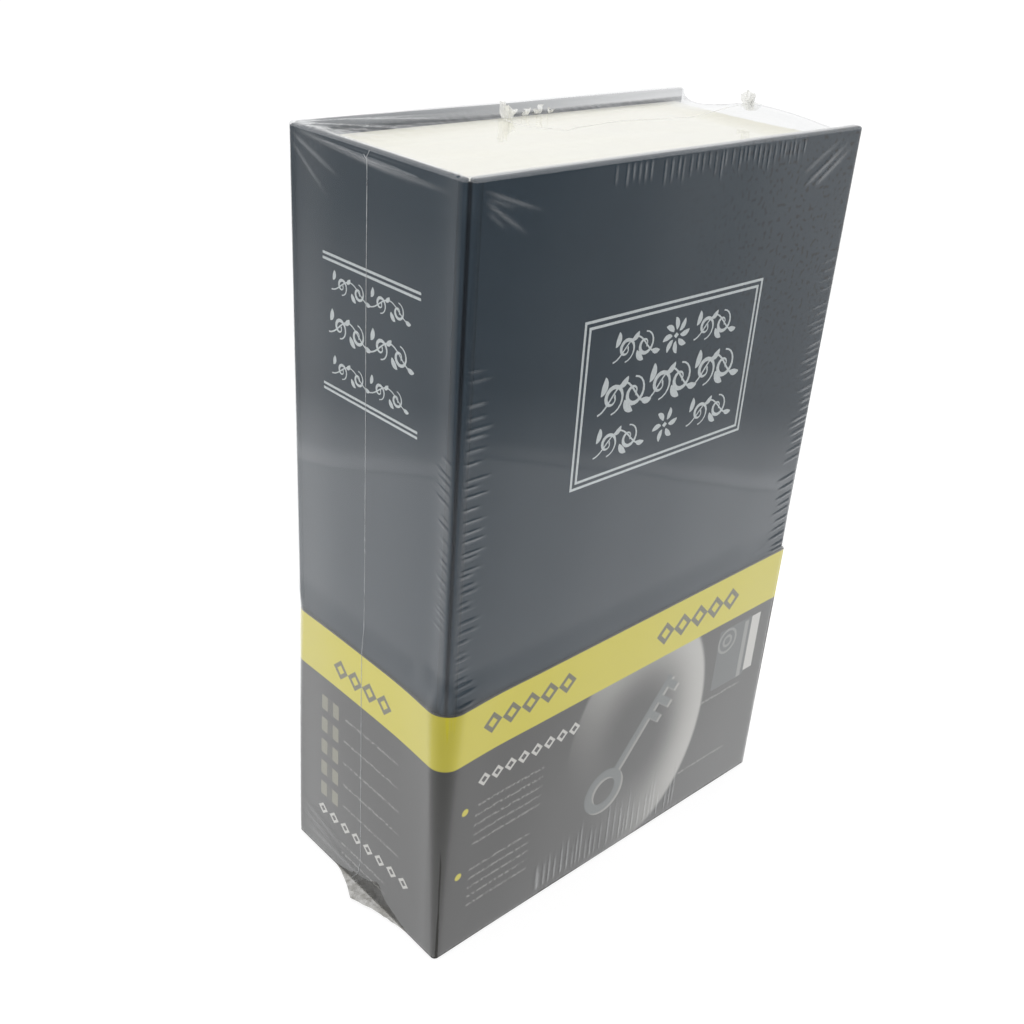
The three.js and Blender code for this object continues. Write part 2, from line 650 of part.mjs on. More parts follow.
function lockPlug() {
  const front = PLUG_RECESS - LOCK_FLANGE_THICKNESS;
  const shoulder = BARREL_BACK_Y - LID_FRONT_Y;
  const end = CAM_BACK_Y - LID_FRONT_Y - GAP;
  const round = turned([[0, front], [PLUG_RADIUS, front], [PLUG_RADIUS, shoulder], [0, shoulder]]);
  const half = PLUG_SQUARE / 2;
  const square = blockBetween([-half, shoulder - OVERRUN, -half], [half, end, half]);
  const keyway = blockBetween(
    [-KEYWAY_WIDTH / 2, front - OVERRUN, -KEYWAY_HEIGHT / 2],
    [KEYWAY_WIDTH / 2, front + KEYWAY_DEPTH, KEYWAY_HEIGHT / 2],
  );
  const thread = drawnBack(
    discShape(0, 0, CAM_SCREW_RADIUS + GAP), end - CAM_SCREW_LENGTH - GAP, end + OVERRUN, ROUND_STEPS);
  const plug = cutAway(joined(round, square), keyway, thread);
  return onLockAxis('lock_plug', plug, nickel());
}

// A flat arm with a round end on the plug's square, standing up when the lock is open.
function lockCam() {
  const front = CAM_FRONT_Y - LID_FRONT_Y;
  const back = CAM_BACK_Y - LID_FRONT_Y;
  const half = CAM_WIDTH / 2;
  const tip = CAM_LENGTH - half / 2;
  const shape = new THREE.Shape();
  shape.absarc(0, 0, half, Math.PI, 2 * Math.PI, false);
  shape.lineTo(half, tip);
  shape.lineTo(half / 2, CAM_LENGTH);
  shape.lineTo(-half / 2, CAM_LENGTH);
  shape.lineTo(-half, tip);
  const arm = drawnBack(shape, front, back, ROUND_STEPS / 2);
  const side = PLUG_SQUARE / 2 + GAP;
  const square = blockBetween([-side, front - OVERRUN, -side], [side, back + OVERRUN, side]);
  return onLockAxis('lock_cam', cutAway(arm, square), bareSteel());
}

function camScrew() {
  const seat = CAM_BACK_Y - LID_FRONT_Y;
  const screw = turned([
    [0, seat - CAM_SCREW_LENGTH],
    [CAM_SCREW_RADIUS, seat - CAM_SCREW_LENGTH],
    [CAM_SCREW_RADIUS, seat],
    [CAM_SCREW_HEAD_RADIUS, seat],
    [CAM_SCREW_HEAD_RADIUS, seat + CAM_SCREW_HEAD / 2],
    [CAM_SCREW_HEAD_RADIUS / 2, seat + CAM_SCREW_HEAD],
    [0, seat + CAM_SCREW_HEAD],
  ]);
  return onLockAxis('cam_screw', screw, bareSteel());
}

// An angle on the fore-edge wall whose tongue the cam goes behind.
function strike() {
  const low = LOCK_Z - STRIKE_HEIGHT / 2;
  const high = LOCK_Z + STRIKE_HEIGHT / 2;
  const tongueShape = roundedRectangle(
    INNER_FORE_X - STRIKE_REACH, low, INNER_FORE_X, high, STRIKE_CORNER);
  const tongue = drawnBack(tongueShape, STRIKE_FRONT_Y, STRIKE_FRONT_Y + STRIKE_THICKNESS);
  const pad = blockBetween(
    [INNER_FORE_X - STRIKE_THICKNESS, STRIKE_FRONT_Y, low + STRIKE_CORNER],
    [INNER_FORE_X, STRIKE_FRONT_Y + STRIKE_DEPTH, high - STRIKE_CORNER],
  );
  return part('strike', cutAway(joined(tongue, pad), ...rivetHoles()), bareSteel());
}

function strikeRivet(index) {
  const shank = STRIKE_THICKNESS + SHEET;
  const rivet = part(`strike_rivet_${index + 1}`, turned([
    [0, -RIVET_HEAD],
    [RIVET_HEAD_RADIUS / 2, -RIVET_HEAD],
    [RIVET_HEAD_RADIUS, -RIVET_HEAD / 3],
    [RIVET_HEAD_RADIUS, 0],
    [RIVET_RADIUS, 0],
    [RIVET_RADIUS, shank],
    [RIVET_HEAD_RADIUS, shank],
    [RIVET_HEAD_RADIUS, shank + RIVET_TAIL],
    [0, shank + RIVET_TAIL],
  ]), bareSteel());
  const [y, z] = rivetPlaces()[index];
  rivet.rotation.z = -Math.PI / 2;
  rivet.position.set(INNER_FORE_X - STRIKE_THICKNESS, y, z);
  return rivet;
}

function trayScrew(index) {
  const length = BLOCK_BACK_Y - INNER_BACK_Y - GAP;
  const screw = part(`tray_screw_${index + 1}`, turned([
    [0, -SCREW_HEAD],
    [SCREW_HEAD_RADIUS * 2 / 3, -SCREW_HEAD],
    [SCREW_HEAD_RADIUS, -SCREW_HEAD / 3],
    [SCREW_HEAD_RADIUS, 0],
    [SCREW_RADIUS, 0],
    [SCREW_RADIUS, length],
    [0, length],
  ]), bareSteel());
  const [x, z] = screwPlaces()[index];
  screw.position.set(x, INNER_BACK_Y, z);
  return screw;
}

// A flat key: its bow is centred on the origin and its blade points along +X.
function keyGeometry() {
  const bow = discShape(0, 0, KEY_BOW_RADIUS);
  const hole = discShape(-KEY_HOLE_OFFSET, 0, KEY_HOLE_RADIUS);
  const half = KEY_BLADE_WIDTH / 2;
  const tip = KEY_BOW_RADIUS + KEY_BLADE_LENGTH;
  const blade = new THREE.Shape();
  blade.moveTo(0, -half);
  blade.lineTo(tip - half, -half);
  blade.lineTo(tip, 0);
  blade.lineTo(tip - half, half);
  blade.lineTo(0, half);
  const pitch = (KEY_BLADE_LENGTH - KEY_SHOULDER - half) / KEY_CUT_DEPTH_SHARES.length;
  const cuts = KEY_CUT_DEPTH_SHARES.map((share, i) => {
    const x = KEY_BOW_RADIUS + KEY_SHOULDER + (i + 0.5) * pitch;
    const notch = new THREE.Shape();
    notch.moveTo(x - KEY_CUT_WIDTH / 2, -half - OVERRUN);
    notch.lineTo(x + KEY_CUT_WIDTH / 2, -half - OVERRUN);
    notch.lineTo(x, share * KEY_BLADE_WIDTH - half);
    return drawnUp(notch, -OVERRUN, KEY_THICKNESS + OVERRUN);
  });
  const groove = blockBetween(
    [KEY_BOW_RADIUS, KEY_GROOVE_WIDTH / 2, KEY_THICKNESS - KEY_GROOVE_DEPTH],
    [tip + OVERRUN, KEY_GROOVE_WIDTH * 3 / 2, KEY_THICKNESS + OVERRUN],
  );
  const blank = joined(
    drawnUp(bow, 0, KEY_THICKNESS, FINE_ROUND_STEPS),
    drawnUp(blade, 0, KEY_THICKNESS),
  );
  return cutAway(blank, drawnUp(hole, -OVERRUN, KEY_THICKNESS + OVERRUN, ROUND_STEPS), groove, ...cuts);
}

// The keys lie flat, the first on the tray's tail wall and the second across it.
function keyOnTail(index) {
  const key = part(`key_${index + 1}`, keyGeometry(), nickel());
  key.rotation.z = THREE.MathUtils.degToRad(KEY_ANGLES_DEG[index]);
  key.position.set(
    INNER_SPINE_X + KEY_X_SHARES[index] * (INNER_FORE_X - INNER_SPINE_X),
    LID_EDGE_Y + KEY_Y_SHARES[index] * (INNER_BACK_Y - LID_EDGE_Y),
    INNER_TAIL_Z + GAP + index * (KEY_THICKNESS + GAP),
  );
  return key;
}

// Inner faces of the sleeve.
const CARD_SPINE_X = SPINE_X - GAP;
const CARD_FORE_X = FORE_X + GAP;
const CARD_FRONT_Y = FRONT_Y - GAP;
const CARD_BACK_Y = BACK_Y + GAP;
// With the cover turned right back, its card lies beside the spine's card.
const FRONT_CARD_X = 2 * HINGE_X - CARD_SPINE_X + SLEEVE_CARD + GAP;
const SPINE_CARD_Y = 2 * HINGE_Y - CARD_FRONT_Y + SLEEVE_CARD + GAP;

function corner(x, y) {
  return new THREE.Vector2(x, y);
}

// The sleeve's front: it folds round the front board's fore-edge and is tucked behind it.
function sleeveFront() {
  const flapY = FRONT_Y + BOARD_THICKNESS + PASTEDOWN_THICKNESS + GAP;
  const band = cardBand([
    corner(FRONT_CARD_X, CARD_FRONT_Y),
    corner(CARD_FORE_X, CARD_FRONT_Y),
    corner(CARD_FORE_X, flapY),
    corner(CARD_FORE_X - SLEEVE_FLAP_DEPTH, flapY),
  ], [SLEEVE_EDGE_BEND, SLEEVE_EDGE_BEND]);
  return part('sleeve_front', band, sleeveCard());
}

// The bend of the sleeve round the front joint.
function sleeveFold() {
  const band = cardBand([
    corner(CARD_SPINE_X, SPINE_CARD_Y - GAP),
    corner(CARD_SPINE_X, CARD_FRONT_Y),
    corner(FRONT_CARD_X - GAP, CARD_FRONT_Y),
  ], [SLEEVE_CORNER_BEND]);
  return part('sleeve_fold', band, sleeveCard());
}

// The rest of the sleeve: turned in at the back board's fore-edge, round the back and the spine.
function sleeveBody() {
  const turnInY = BACK_Y - BOARD_THICKNESS - PASTEDOWN_THICKNESS - GAP;
  const band = cardBand([
    corner(CARD_FORE_X - SLEEVE_TURN_IN, turnInY),
    corner(CARD_FORE_X, turnInY),
    corner(CARD_FORE_X, CARD_BACK_Y),
    corner(CARD_SPINE_X, CARD_BACK_Y),
    corner(CARD_SPINE_X, SPINE_CARD_Y),
  ], [SLEEVE_EDGE_BEND, SLEEVE_EDGE_BEND, SLEEVE_CORNER_BEND]);
  return part('sleeve_body', band, sleeveCard());
}

// The film's planes: clear of the sleeve's flap in front and of its turn-in behind.
const FILM_FRONT_Y = BLOCK_FRONT_Y;
const FILM_BACK_Y = BLOCK_BACK_Y - GAP - SLEEVE_CARD - GAP;
const FILM_HALF_WIDTH = (FILM_BACK_Y - FILM_FRONT_Y) / 2;

// The film's line round the open sides, seen from the front: along the head, down the fore-edge and
// back along the tail. Each point has its place, its outward direction and its distance from the spine.
function filmLine() {
  const inset = FILM_CORNER - GAP;
  const head = FILM_STATION_SHARES.map((share) => ({
    x: BLOCK_SPINE_X + share * FILM_HALF_WIDTH,
    z: BLOCK_HEAD_Z + GAP,
    outX: 0,
    outZ: 1,
  }));
  const corner = [];
  for (let step = 0; step <= BEND_STEPS; step += 1) {
    const angle = (step / BEND_STEPS) * (Math.PI / 2);
    const outX = Math.sin(angle);
    const outZ = Math.cos(angle);
    corner.push({
      x: BLOCK_FORE_X - inset + FILM_CORNER * outX,
      z: BLOCK_HEAD_Z - inset + FILM_CORNER * outZ,
      outX,
      outZ,
    });
  }
  const upper = [...head, ...corner];
  const lower = upper.map((point) => ({ ...point, z: BOOK_HEIGHT - point.z, outZ: -point.outZ }));
  return [...upper, ...lower.reverse()];
}

// How far the film has drawn in at a distance from an edge that it hangs on: 0 on it, 1 far from it.
function filmDraw(distance) {
  return 1 - Math.exp(-distance / FILM_DRAW_REACH);
}

// A closed strip through rings of points: each ring holds its outer line and then its inner line reversed.
function loftedStrip(rings) {
  const size = rings[0].length;
  const index = [];
  const quad = (a, b, c, d) => index.push(a, b, c, a, c, d);
  for (let ring = 0; ring < rings.length - 1; ring += 1) {
    const here = ring * size;
    const there = here + size;
    for (let j = 0; j < size; j += 1) {
      const next = (j + 1) % size;
      quad(here + j, there + j, there + next, here + next);
    }
  }
  const last = (rings.length - 1) * size;
  for (let j = 0; j < size / 2 - 1; j += 1) {
    const across = size - 1 - j;
    quad(j, j + 1, across - 1, across);
    quad(last + j, last + across, last + across - 1, last + j + 1);
  }
  const geometry = new THREE.BufferGeometry();
  geometry.setAttribute('position', new THREE.Float32BufferAttribute(rings.flat(2), 3));
  geometry.setIndex(index);
  geometry.computeVertexNormals();
  return geometry;
}

// The film sags on to the block between the boards and rises again to their edges and the spine's.
function shrinkFilm() {
  const fromFront = FILM_STATION_SHARES.map((share) => FILM_FRONT_Y + share * FILM_HALF_WIDTH);
  const fromBack = FILM_STATION_SHARES.map((share) => FILM_BACK_Y - share * FILM_HALF_WIDTH);
  const stations = [...fromFront, ...fromBack.reverse()];
  const rings = filmLine().map(({ x, z, outX, outZ }) => {
    const spineDraw = filmDraw(x - SPINE_X - SPINE_THICKNESS);
    const place = (y, sheet) => {
      const fromBoard = Math.min(y - FRONT_Y, BACK_Y - y) - BOARD_THICKNESS;
      const rise = 1 - spineDraw * filmDraw(fromBoard);
      const foreRise = rise * (FORE_SQUARE - GAP - FILM_SHEET) + sheet;
      const headRise = rise * (HEAD_SQUARE - GAP - FILM_SHEET) + sheet;
      return [x + outX * foreRise, y, z + outZ * headRise];
    };
    const outer = stations.map((y) => place(y, FILM_SHEET));
    const inner = stations.map((y) => place(y, 0));
    return [...outer, ...inner.reverse()];
  });
  return part('shrink_film', loftedStrip(rings), clearFilm());
}

// A group whose origin lies on a turning axis, with its pieces left where they are.
function turningGroup(pieces, x, y, z) {
  const group = new THREE.Group();
  group.position.set(x, y, z);
  group.updateMatrixWorld();
  pieces.forEach((piece) => group.attach(piece));
  return group;
}

const book = new THREE.Group();
book.add(
  spineBoard(),
  backBoard(),
  clothJoint('front_joint', FRONT_Y, 0),
  clothJoint('back_joint', BACK_Y, -Math.PI / 2),
  pastedown('back_pastedown', BLOCK_BACK_Y),
  pageBlock(),
  cashTray(),
  hingePin(),
  strike(),
  sleeveBody(),
  sleeveFold(),
  shrinkFilm(),
);
rivetPlaces().forEach((place, index) => book.add(strikeRivet(index)));
screwPlaces().forEach((place, index) => book.add(trayScrew(index)));
KEY_ANGLES_DEG.forEach((angle, index) => book.add(keyOnTail(index)));

const cover = turningGroup([
  frontBoard(),
  pastedown('front_pastedown', FRONT_Y + BOARD_THICKNESS),
  sleeveFront(),
], HINGE_X, HINGE_Y, 0);

const lock = turningGroup([lockPlug(), lockCam(), camScrew()], LOCK_X, LID_FRONT_Y, LOCK_Z);

const lid = turningGroup([cashLid(), lockBody(), lockNut(), lock], PIVOT_X, PIVOT_Y, 0);

book.add(cover, lid);

export default book;
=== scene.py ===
# %% [markdown]
# # A book that hides a cash box
# The object is a hard-cover book, new in its shop wrap. Cloth-covered boards stand round a moulded
# page block, and a steel cash box with a cam lock sits in the block. A printed card sleeve goes
# round the lower part and clear shrink film round it all.
#
# A model with every piece at its real size is loaded first. Nothing in it is moved: the finer
# pieces made below take their places from it, and most of them ride on the same moving bodies.

# %% Load the fixed model
import json
import math
import random

import bmesh
import bpy
import numpy as np
from mathutils import Matrix, Vector, noise

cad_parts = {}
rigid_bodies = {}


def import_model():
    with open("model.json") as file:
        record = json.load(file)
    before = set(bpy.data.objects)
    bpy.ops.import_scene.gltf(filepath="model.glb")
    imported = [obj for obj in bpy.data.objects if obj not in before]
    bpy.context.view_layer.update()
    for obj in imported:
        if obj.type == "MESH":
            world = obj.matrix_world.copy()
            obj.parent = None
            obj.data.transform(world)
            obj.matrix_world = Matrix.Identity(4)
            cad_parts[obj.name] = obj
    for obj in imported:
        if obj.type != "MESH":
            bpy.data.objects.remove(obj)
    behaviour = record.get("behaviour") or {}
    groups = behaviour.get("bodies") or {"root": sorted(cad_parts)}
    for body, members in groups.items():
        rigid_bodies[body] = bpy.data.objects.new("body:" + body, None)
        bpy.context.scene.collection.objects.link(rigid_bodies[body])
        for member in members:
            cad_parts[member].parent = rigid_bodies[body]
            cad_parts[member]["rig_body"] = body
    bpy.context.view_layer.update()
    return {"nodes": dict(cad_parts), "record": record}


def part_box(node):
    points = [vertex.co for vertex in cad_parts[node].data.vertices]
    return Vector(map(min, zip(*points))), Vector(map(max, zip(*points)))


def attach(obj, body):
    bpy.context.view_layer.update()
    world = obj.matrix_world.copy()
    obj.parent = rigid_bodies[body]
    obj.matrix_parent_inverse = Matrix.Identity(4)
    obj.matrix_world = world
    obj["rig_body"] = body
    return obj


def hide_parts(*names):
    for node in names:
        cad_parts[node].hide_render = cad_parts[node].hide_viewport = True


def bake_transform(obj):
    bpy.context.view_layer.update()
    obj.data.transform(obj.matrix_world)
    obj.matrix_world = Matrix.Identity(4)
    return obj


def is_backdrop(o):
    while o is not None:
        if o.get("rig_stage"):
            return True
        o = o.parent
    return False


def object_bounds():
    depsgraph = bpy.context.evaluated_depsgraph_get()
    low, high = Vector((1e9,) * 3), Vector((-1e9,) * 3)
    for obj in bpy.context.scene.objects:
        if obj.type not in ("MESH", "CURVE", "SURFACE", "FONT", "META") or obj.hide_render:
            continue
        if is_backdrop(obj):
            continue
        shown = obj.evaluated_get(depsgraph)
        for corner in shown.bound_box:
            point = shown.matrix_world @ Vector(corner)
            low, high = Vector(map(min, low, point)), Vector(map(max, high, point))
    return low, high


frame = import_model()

MM = 0.001

# %% [markdown]
# ## Sizes
# Every place is read from the loaded pieces, in millimetres, so that this script holds no second
# copy of the book's sizes. The front cover lies at the low end of Y, the spine at the low end of X,
# and Z goes up.


# %% Read the book's main planes
def box_mm(node):
    """The lowest and highest corners of a loaded piece, in millimetres."""
    low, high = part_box(node)
    return low / MM, high / MM


FRONT_LOW, FRONT_HIGH = box_mm("front_board")
BACK_LOW, BACK_HIGH = box_mm("back_board")
SPINE_LOW, SPINE_HIGH = box_mm("spine_board")
BLOCK_LOW, BLOCK_HIGH = box_mm("page_block")
SLEEVE_LOW, SLEEVE_HIGH = box_mm("sleeve_body")
BOOK_LOW = Vector((SPINE_LOW.x, FRONT_LOW.y, SPINE_LOW.z))
BOOK_HIGH = Vector((FRONT_HIGH.x, BACK_HIGH.y, SPINE_HIGH.z))
SLOT_OF = {row["node"]: row["material_slot"] for row in frame["record"]["subparts"]}
print("sleeve height", round(SLEEVE_HIGH.z, 1), "boards", round(FRONT_HIGH.y - FRONT_LOW.y, 2), "mm thick")

# %% [markdown]
# ## The camera
# A camera can be matched to a photograph by hand, or worked out from points whose real places are
# known. Here the book's seven visible corners gave the place, the small roll and the lens, so the
# camera is built from its three axes instead of being aimed with a constraint.

# %% Set up the camera at the photograph's angle
CAMERA_AZIMUTH = math.radians(-44.009)
CAMERA_ELEVATION = math.radians(27.905)
CAMERA_ROLL = math.radians(4.067)
CAMERA_DISTANCE = 283.35
CAMERA_TARGET = Vector((-15.971, 0, 93.254))
LENS_TO_SENSOR = 1213.62 / 1024


def camera_axes():
    """The camera's right, up and backward directions."""
    level = math.cos(CAMERA_ELEVATION)
    back = Vector((
        math.sin(CAMERA_AZIMUTH) * level,
        -math.cos(CAMERA_AZIMUTH) * level,
        math.sin(CAMERA_ELEVATION),
    ))
    right = Vector((0, 0, 1)).cross(back).normalized()
    up = back.cross(right)
    roll = Matrix.Rotation(CAMERA_ROLL, 3, back)
    return roll @ right, roll @ up, back


camera = bpy.data.objects.new("camera", bpy.data.cameras.new("camera"))
bpy.context.scene.collection.objects.link(camera)
right, up, back = camera_axes()
camera.matrix_world = Matrix.Translation((CAMERA_TARGET + back * CAMERA_DISTANCE) * MM) @ Matrix(
    (right, up, back)
).transposed().to_4x4()
camera.data.lens = LENS_TO_SENSOR * camera.data.sensor_width
camera.data.clip_start = 10 * MM
bpy.context.scene.camera = camera
print("camera at", [round(v / MM) for v in camera.location], "mm, lens", round(camera.data.lens, 1))

# %% [markdown]
# ## From a bmesh to a piece
# Shapes are easiest to think of in millimetres. One helper turns a finished bmesh into metres,
# gives it its finish, and lets it ride on a moving body. Its object stays at the origin, with its
# place in the mesh.


# %% The helper that makes a piece
def piece(name, bm, finish, body=None, replaces=(), sharp_deg=35, outwards=True):
    """A bmesh in millimetres becomes a named object in metres."""
    if outwards:
        bmesh.ops.recalc_face_normals(bm, faces=bm.faces[:])
    bm.transform(Matrix.Scale(MM, 4))
    mesh = bpy.data.meshes.new(name)
    bm.to_mesh(mesh)
    bm.free()
    return piece_of_mesh(name, mesh, finish, body, replaces, sharp_deg)


def piece_of_mesh(name, mesh, finish, body=None, replaces=(), sharp_deg=35):
    """A mesh that is already in metres becomes a named object."""
    mesh.materials.clear()
    mesh.materials.append(finish)
    mesh.shade_smooth()
    mesh.set_sharp_from_angle(angle=math.radians(sharp_deg))
    made = bpy.data.objects.new(name, mesh)
    bpy.context.scene.collection.objects.link(made)
    if body:
        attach(made, body)
    if replaces:
        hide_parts(*replaces)
    return made


def slab(low, high, edge, segments=4):
    """A box between two corners, with rounded edges."""
    low, high = Vector(low), Vector(high)
    bm = bmesh.new()
    bmesh.ops.create_cube(bm, size=1)
    bmesh.ops.scale(bm, vec=high - low, verts=bm.verts)
    bmesh.ops.translate(bm, vec=(low + high) / 2, verts=bm.verts)
    if edge:
        bmesh.ops.bevel(
            bm, geom=bm.edges[:], offset=edge, segments=segments, profile=0.5, affect="EDGES", material=-1
        )
    return bm


# %% [markdown]
# ## Shader maths as Python
# A pattern in a material is a formula on the surface's own coordinates. Wiring Math nodes by hand
# hides the formula, so a small class stands for a node's output, and Python's operators on it add
# the nodes. One method of the tree makes any other node: its type, its settings, then what goes
# into its sockets.


# %% The class for node outputs
class Wire:
    """A node's output. An operator between wires and numbers adds a Math node."""

    def __init__(self, nodes, socket):
        self.nodes = nodes
        self.socket = socket

    def math(self, operation, *others):
        return self.nodes.node("Math", {"operation": operation}, dict(enumerate([self, *others])))

    def __add__(self, other):
        return self.math("ADD", other)

    def __sub__(self, other):
        return self.math("SUBTRACT", other)

    def __mul__(self, other):
        return self.math("MULTIPLY", other)

    def __truediv__(self, other):
        return self.math("DIVIDE", other)

    def __rsub__(self, other):
        return self.nodes.node("Math", {"operation": "SUBTRACT"}, {0: other, 1: self})

    __radd__ = __add__
    __rmul__ = __mul__

    def clamped(self):
        return self.nodes.node("Clamp", inputs={"Value": self})

    def smooth(self, low, high):
        """0 below low, 1 above high, with soft ends between."""
        inputs = {"Value": self, "From Min": low, "From Max": high}
        return self.nodes.node("MapRange", {"interpolation_type": "SMOOTHSTEP"}, inputs)

    def near(self, middle, half, soft):
        """1 within half of middle, with soft sides."""
        return 1 - (self - middle).math("ABSOLUTE").smooth(half - soft, half + soft)


class Nodes:
    """A node tree in the making, with every length in millimetres."""

    def __init__(self, tree):
        self.tree = tree

    def node(self, kind, settings=None, inputs=None, output=0):
        made = self.tree.nodes.new("ShaderNode" + kind)
        for key, value in (settings or {}).items():
            setattr(made, key, value)
        for key, value in (inputs or {}).items():
            if isinstance(value, Wire):
                self.tree.links.new(value.socket, made.inputs[key])
            else:
                made.inputs[key].default_value = value
        return Wire(self, made.outputs[output])

    def place(self):
        """The surface's own coordinates, in millimetres."""
        coordinates = self.node("TexCoord", output="Object")
        return self.node("VectorMath", {"operation": "SCALE"}, {0: coordinates, "Scale": 1 / MM})

    def axes(self, vector):
        """A vector's three numbers."""
        made = self.node("SeparateXYZ", inputs={0: vector})
        return [Wire(self, socket) for socket in made.socket.node.outputs]

    def noise(self, vector, size, detail=2.0, rough=0.5):
        """Soft random values from 0 to 1, with lumps of that size in millimetres."""
        inputs = {"Vector": vector, "Scale": 1 / size, "Detail": detail, "Roughness": rough}
        return self.node("TexNoise", inputs=inputs)

    def mix(self, factor, first, second):
        """Two colours, each a tuple or a wire, mixed by a number."""
        inputs = {0: factor}
        for index, colour in ((6, first), (7, second)):
            inputs[index] = colour if isinstance(colour, Wire) else (*colour, 1)
        return self.node("Mix", {"data_type": "RGBA"}, inputs, output=2)

    def bump(self, height, depth):
        """A normal from a height of 0 to 1 that stands for that depth in millimetres."""
        return self.node("Bump", inputs={"Height": height, "Strength": 1.0, "Distance": depth * MM})


class Finish(Nodes):
    """A material in the making: its nodes and its main shader."""

    def __init__(self, name, colour):
        self.material = bpy.data.materials.new(name)
        self.material.use_nodes = True
        self.material.diffuse_color = (*colour, 1)
        super().__init__(self.material.node_tree)
        self.shader = self.tree.nodes["Principled BSDF"]

    def surface(self, **sockets):
        """Fills the main shader's sockets, written with _ for a space, and gives the material."""
        for key, value in sockets.items():
            socket = self.shader.inputs[key.replace("_", " ")]
            if isinstance(value, Wire):
                self.tree.links.new(value.socket, socket)
            else:
                socket.default_value = value if isinstance(value, float) else (*value, 1)
        return self.material


# %% [markdown]
# ## Bookcloth and endpaper
# The cover is paper-backed cloth with a satin coat. Up close it shows a fine crossed thread, a
# blotchy dye and a few darker specks. A woven picture could give that, but two sine waves and a few
# noises are lighter, and fit any face: the threads run along Z and along X + Y, one of which is
# constant there. A second version paints shade into the narrow grooves, where little light gets
# in, by taking the cloth nearly black there.

# %% The two dark covering materials
THREAD_PITCH, THREAD_WANDER = 0.42, 2.5
BLOTCH_SIZE, GRAIN_SIZE, SPECK_SIZE = 9, 0.9, 1.1
SPECKLED_ACROSS, SPECKLED_UP = (-20, 55), (85, 165)
CLOTH_DARK = (0.019, 0.034, 0.050)
CLOTH_LIGHT = (0.029, 0.049, 0.068)
SPECK_AND_GROOVE_SHADE = (0.002, 0.004, 0.008)
CLOTH_RELIEF = 0.010
# Painted shade in the grooves: how far towards black, between two depths into a groove.
GROOVE_SHADE, GROOVE_DEPTHS = 0.72, (0.2, 0.7)
ENDPAPER = (0.022, 0.032, 0.044)
ENDPAPER_DARK, ENDPAPER_LIGHT = (0.018, 0.027, 0.038), (0.027, 0.038, 0.051)
FIBRE_SIZE, CLOUD_SIZE, PAPER_RELIEF = 0.6, 14, 0.02


def threads(finish, place):
    """The height of a fine crossed weave, from 0 to 1."""
    x, y, z = finish.axes(place)
    uneven = finish.noise(place, THREAD_WANDER) * 0.8
    warp = ((x + y + uneven) * (math.tau / THREAD_PITCH)).math("SINE")
    weft = ((z + uneven) * (math.tau / THREAD_PITCH)).math("SINE")
    return (warp * weft) * 0.25 + 0.5


def bookcloth(name, groove_painted_shade=False):
    cloth = Finish(name, CLOTH_LIGHT)
    place = cloth.place()
    blotches = cloth.noise(place, BLOTCH_SIZE, 4)
    grain = cloth.noise(place, GRAIN_SIZE, 3, 0.7)
    weave = threads(cloth, place)
    colour = cloth.mix((blotches * 0.6 + grain * 0.25 + 0.05).clamped(), CLOTH_DARK, CLOTH_LIGHT)
    x, y, z = cloth.axes(place)
    crowded = x.smooth(*SPECKLED_ACROSS) * z.smooth(*SPECKLED_UP)
    specks = cloth.noise(place, SPECK_SIZE, 0).smooth(0.60, 0.68) * crowded
    colour = cloth.mix(specks * 0.9, colour, SPECK_AND_GROOVE_SHADE)
    # Painted shade: deep in a groove the cloth is taken towards black, where little light gets in.
    if groove_painted_shade:
        inwards = (x - BOOK_LOW.x).math("MINIMUM", BOOK_HIGH.y - y.math("ABSOLUTE"))
        colour = cloth.mix(inwards.smooth(*GROOVE_DEPTHS) * GROOVE_SHADE, colour, SPECK_AND_GROOVE_SHADE)
    return cloth.surface(
        Base_Color=colour,
        Roughness=grain * 0.2 + 0.5,
        Specular_IOR_Level=0.35,
        Normal=cloth.bump(weave * 0.6 + grain * 0.4, CLOTH_RELIEF),
    )


def endpaper():
    paper = Finish("endpaper", ENDPAPER)
    place = paper.place()
    fibres = paper.noise(place, FIBRE_SIZE, 5, 0.75)
    clouds = paper.noise(place, CLOUD_SIZE, 2)
    return paper.surface(
        Base_Color=paper.mix((fibres * 0.5 + clouds * 0.5).clamped(), ENDPAPER_DARK, ENDPAPER_LIGHT),
        Roughness=fibres * 0.15 + 0.72,
        Specular_IOR_Level=0.25,
        Normal=paper.bump(fibres, PAPER_RELIEF),
    )


BOOKCLOTH, GROOVE_SHADED_CLOTH = bookcloth("bookcloth"), bookcloth("bookcloth_groove_painted_shade", groove_painted_shade=True)
ENDLINING = endpaper()
print("bookcloth and endpaper:", len(BOOKCLOTH.node_tree.nodes), len(ENDLINING.node_tree.nodes), "nodes")

# %% [markdown]
# ## The boards
# Each board is stiff card with the cloth turned over its edges, so every edge is a soft round and
# no edge is a knife. A cube with all its edges bevelled in four steps gives just that, at the
# loaded board's size. The cloth laps a little into the grooves, so each board is that much wider
# there.

# %% Boards and spine
BOARD_EDGE = 0.55
BOARD_LAP, SPINE_LAP = Vector((0.2, 0, 0)), Vector((0, 0.4, 0))
for name, low, high, body in (
    ("front_board", FRONT_LOW - BOARD_LAP, FRONT_HIGH, "cover"),
    ("back_board", BACK_LOW - BOARD_LAP, BACK_HIGH, "case"),
    ("spine_board", SPINE_LOW - SPINE_LAP, SPINE_HIGH + SPINE_LAP, "case"),
):
    made = piece("covered_" + name, slab(low, high, BOARD_EDGE), BOOKCLOTH, body, [name])
    print(made.name, len(made.data.polygons), "faces")
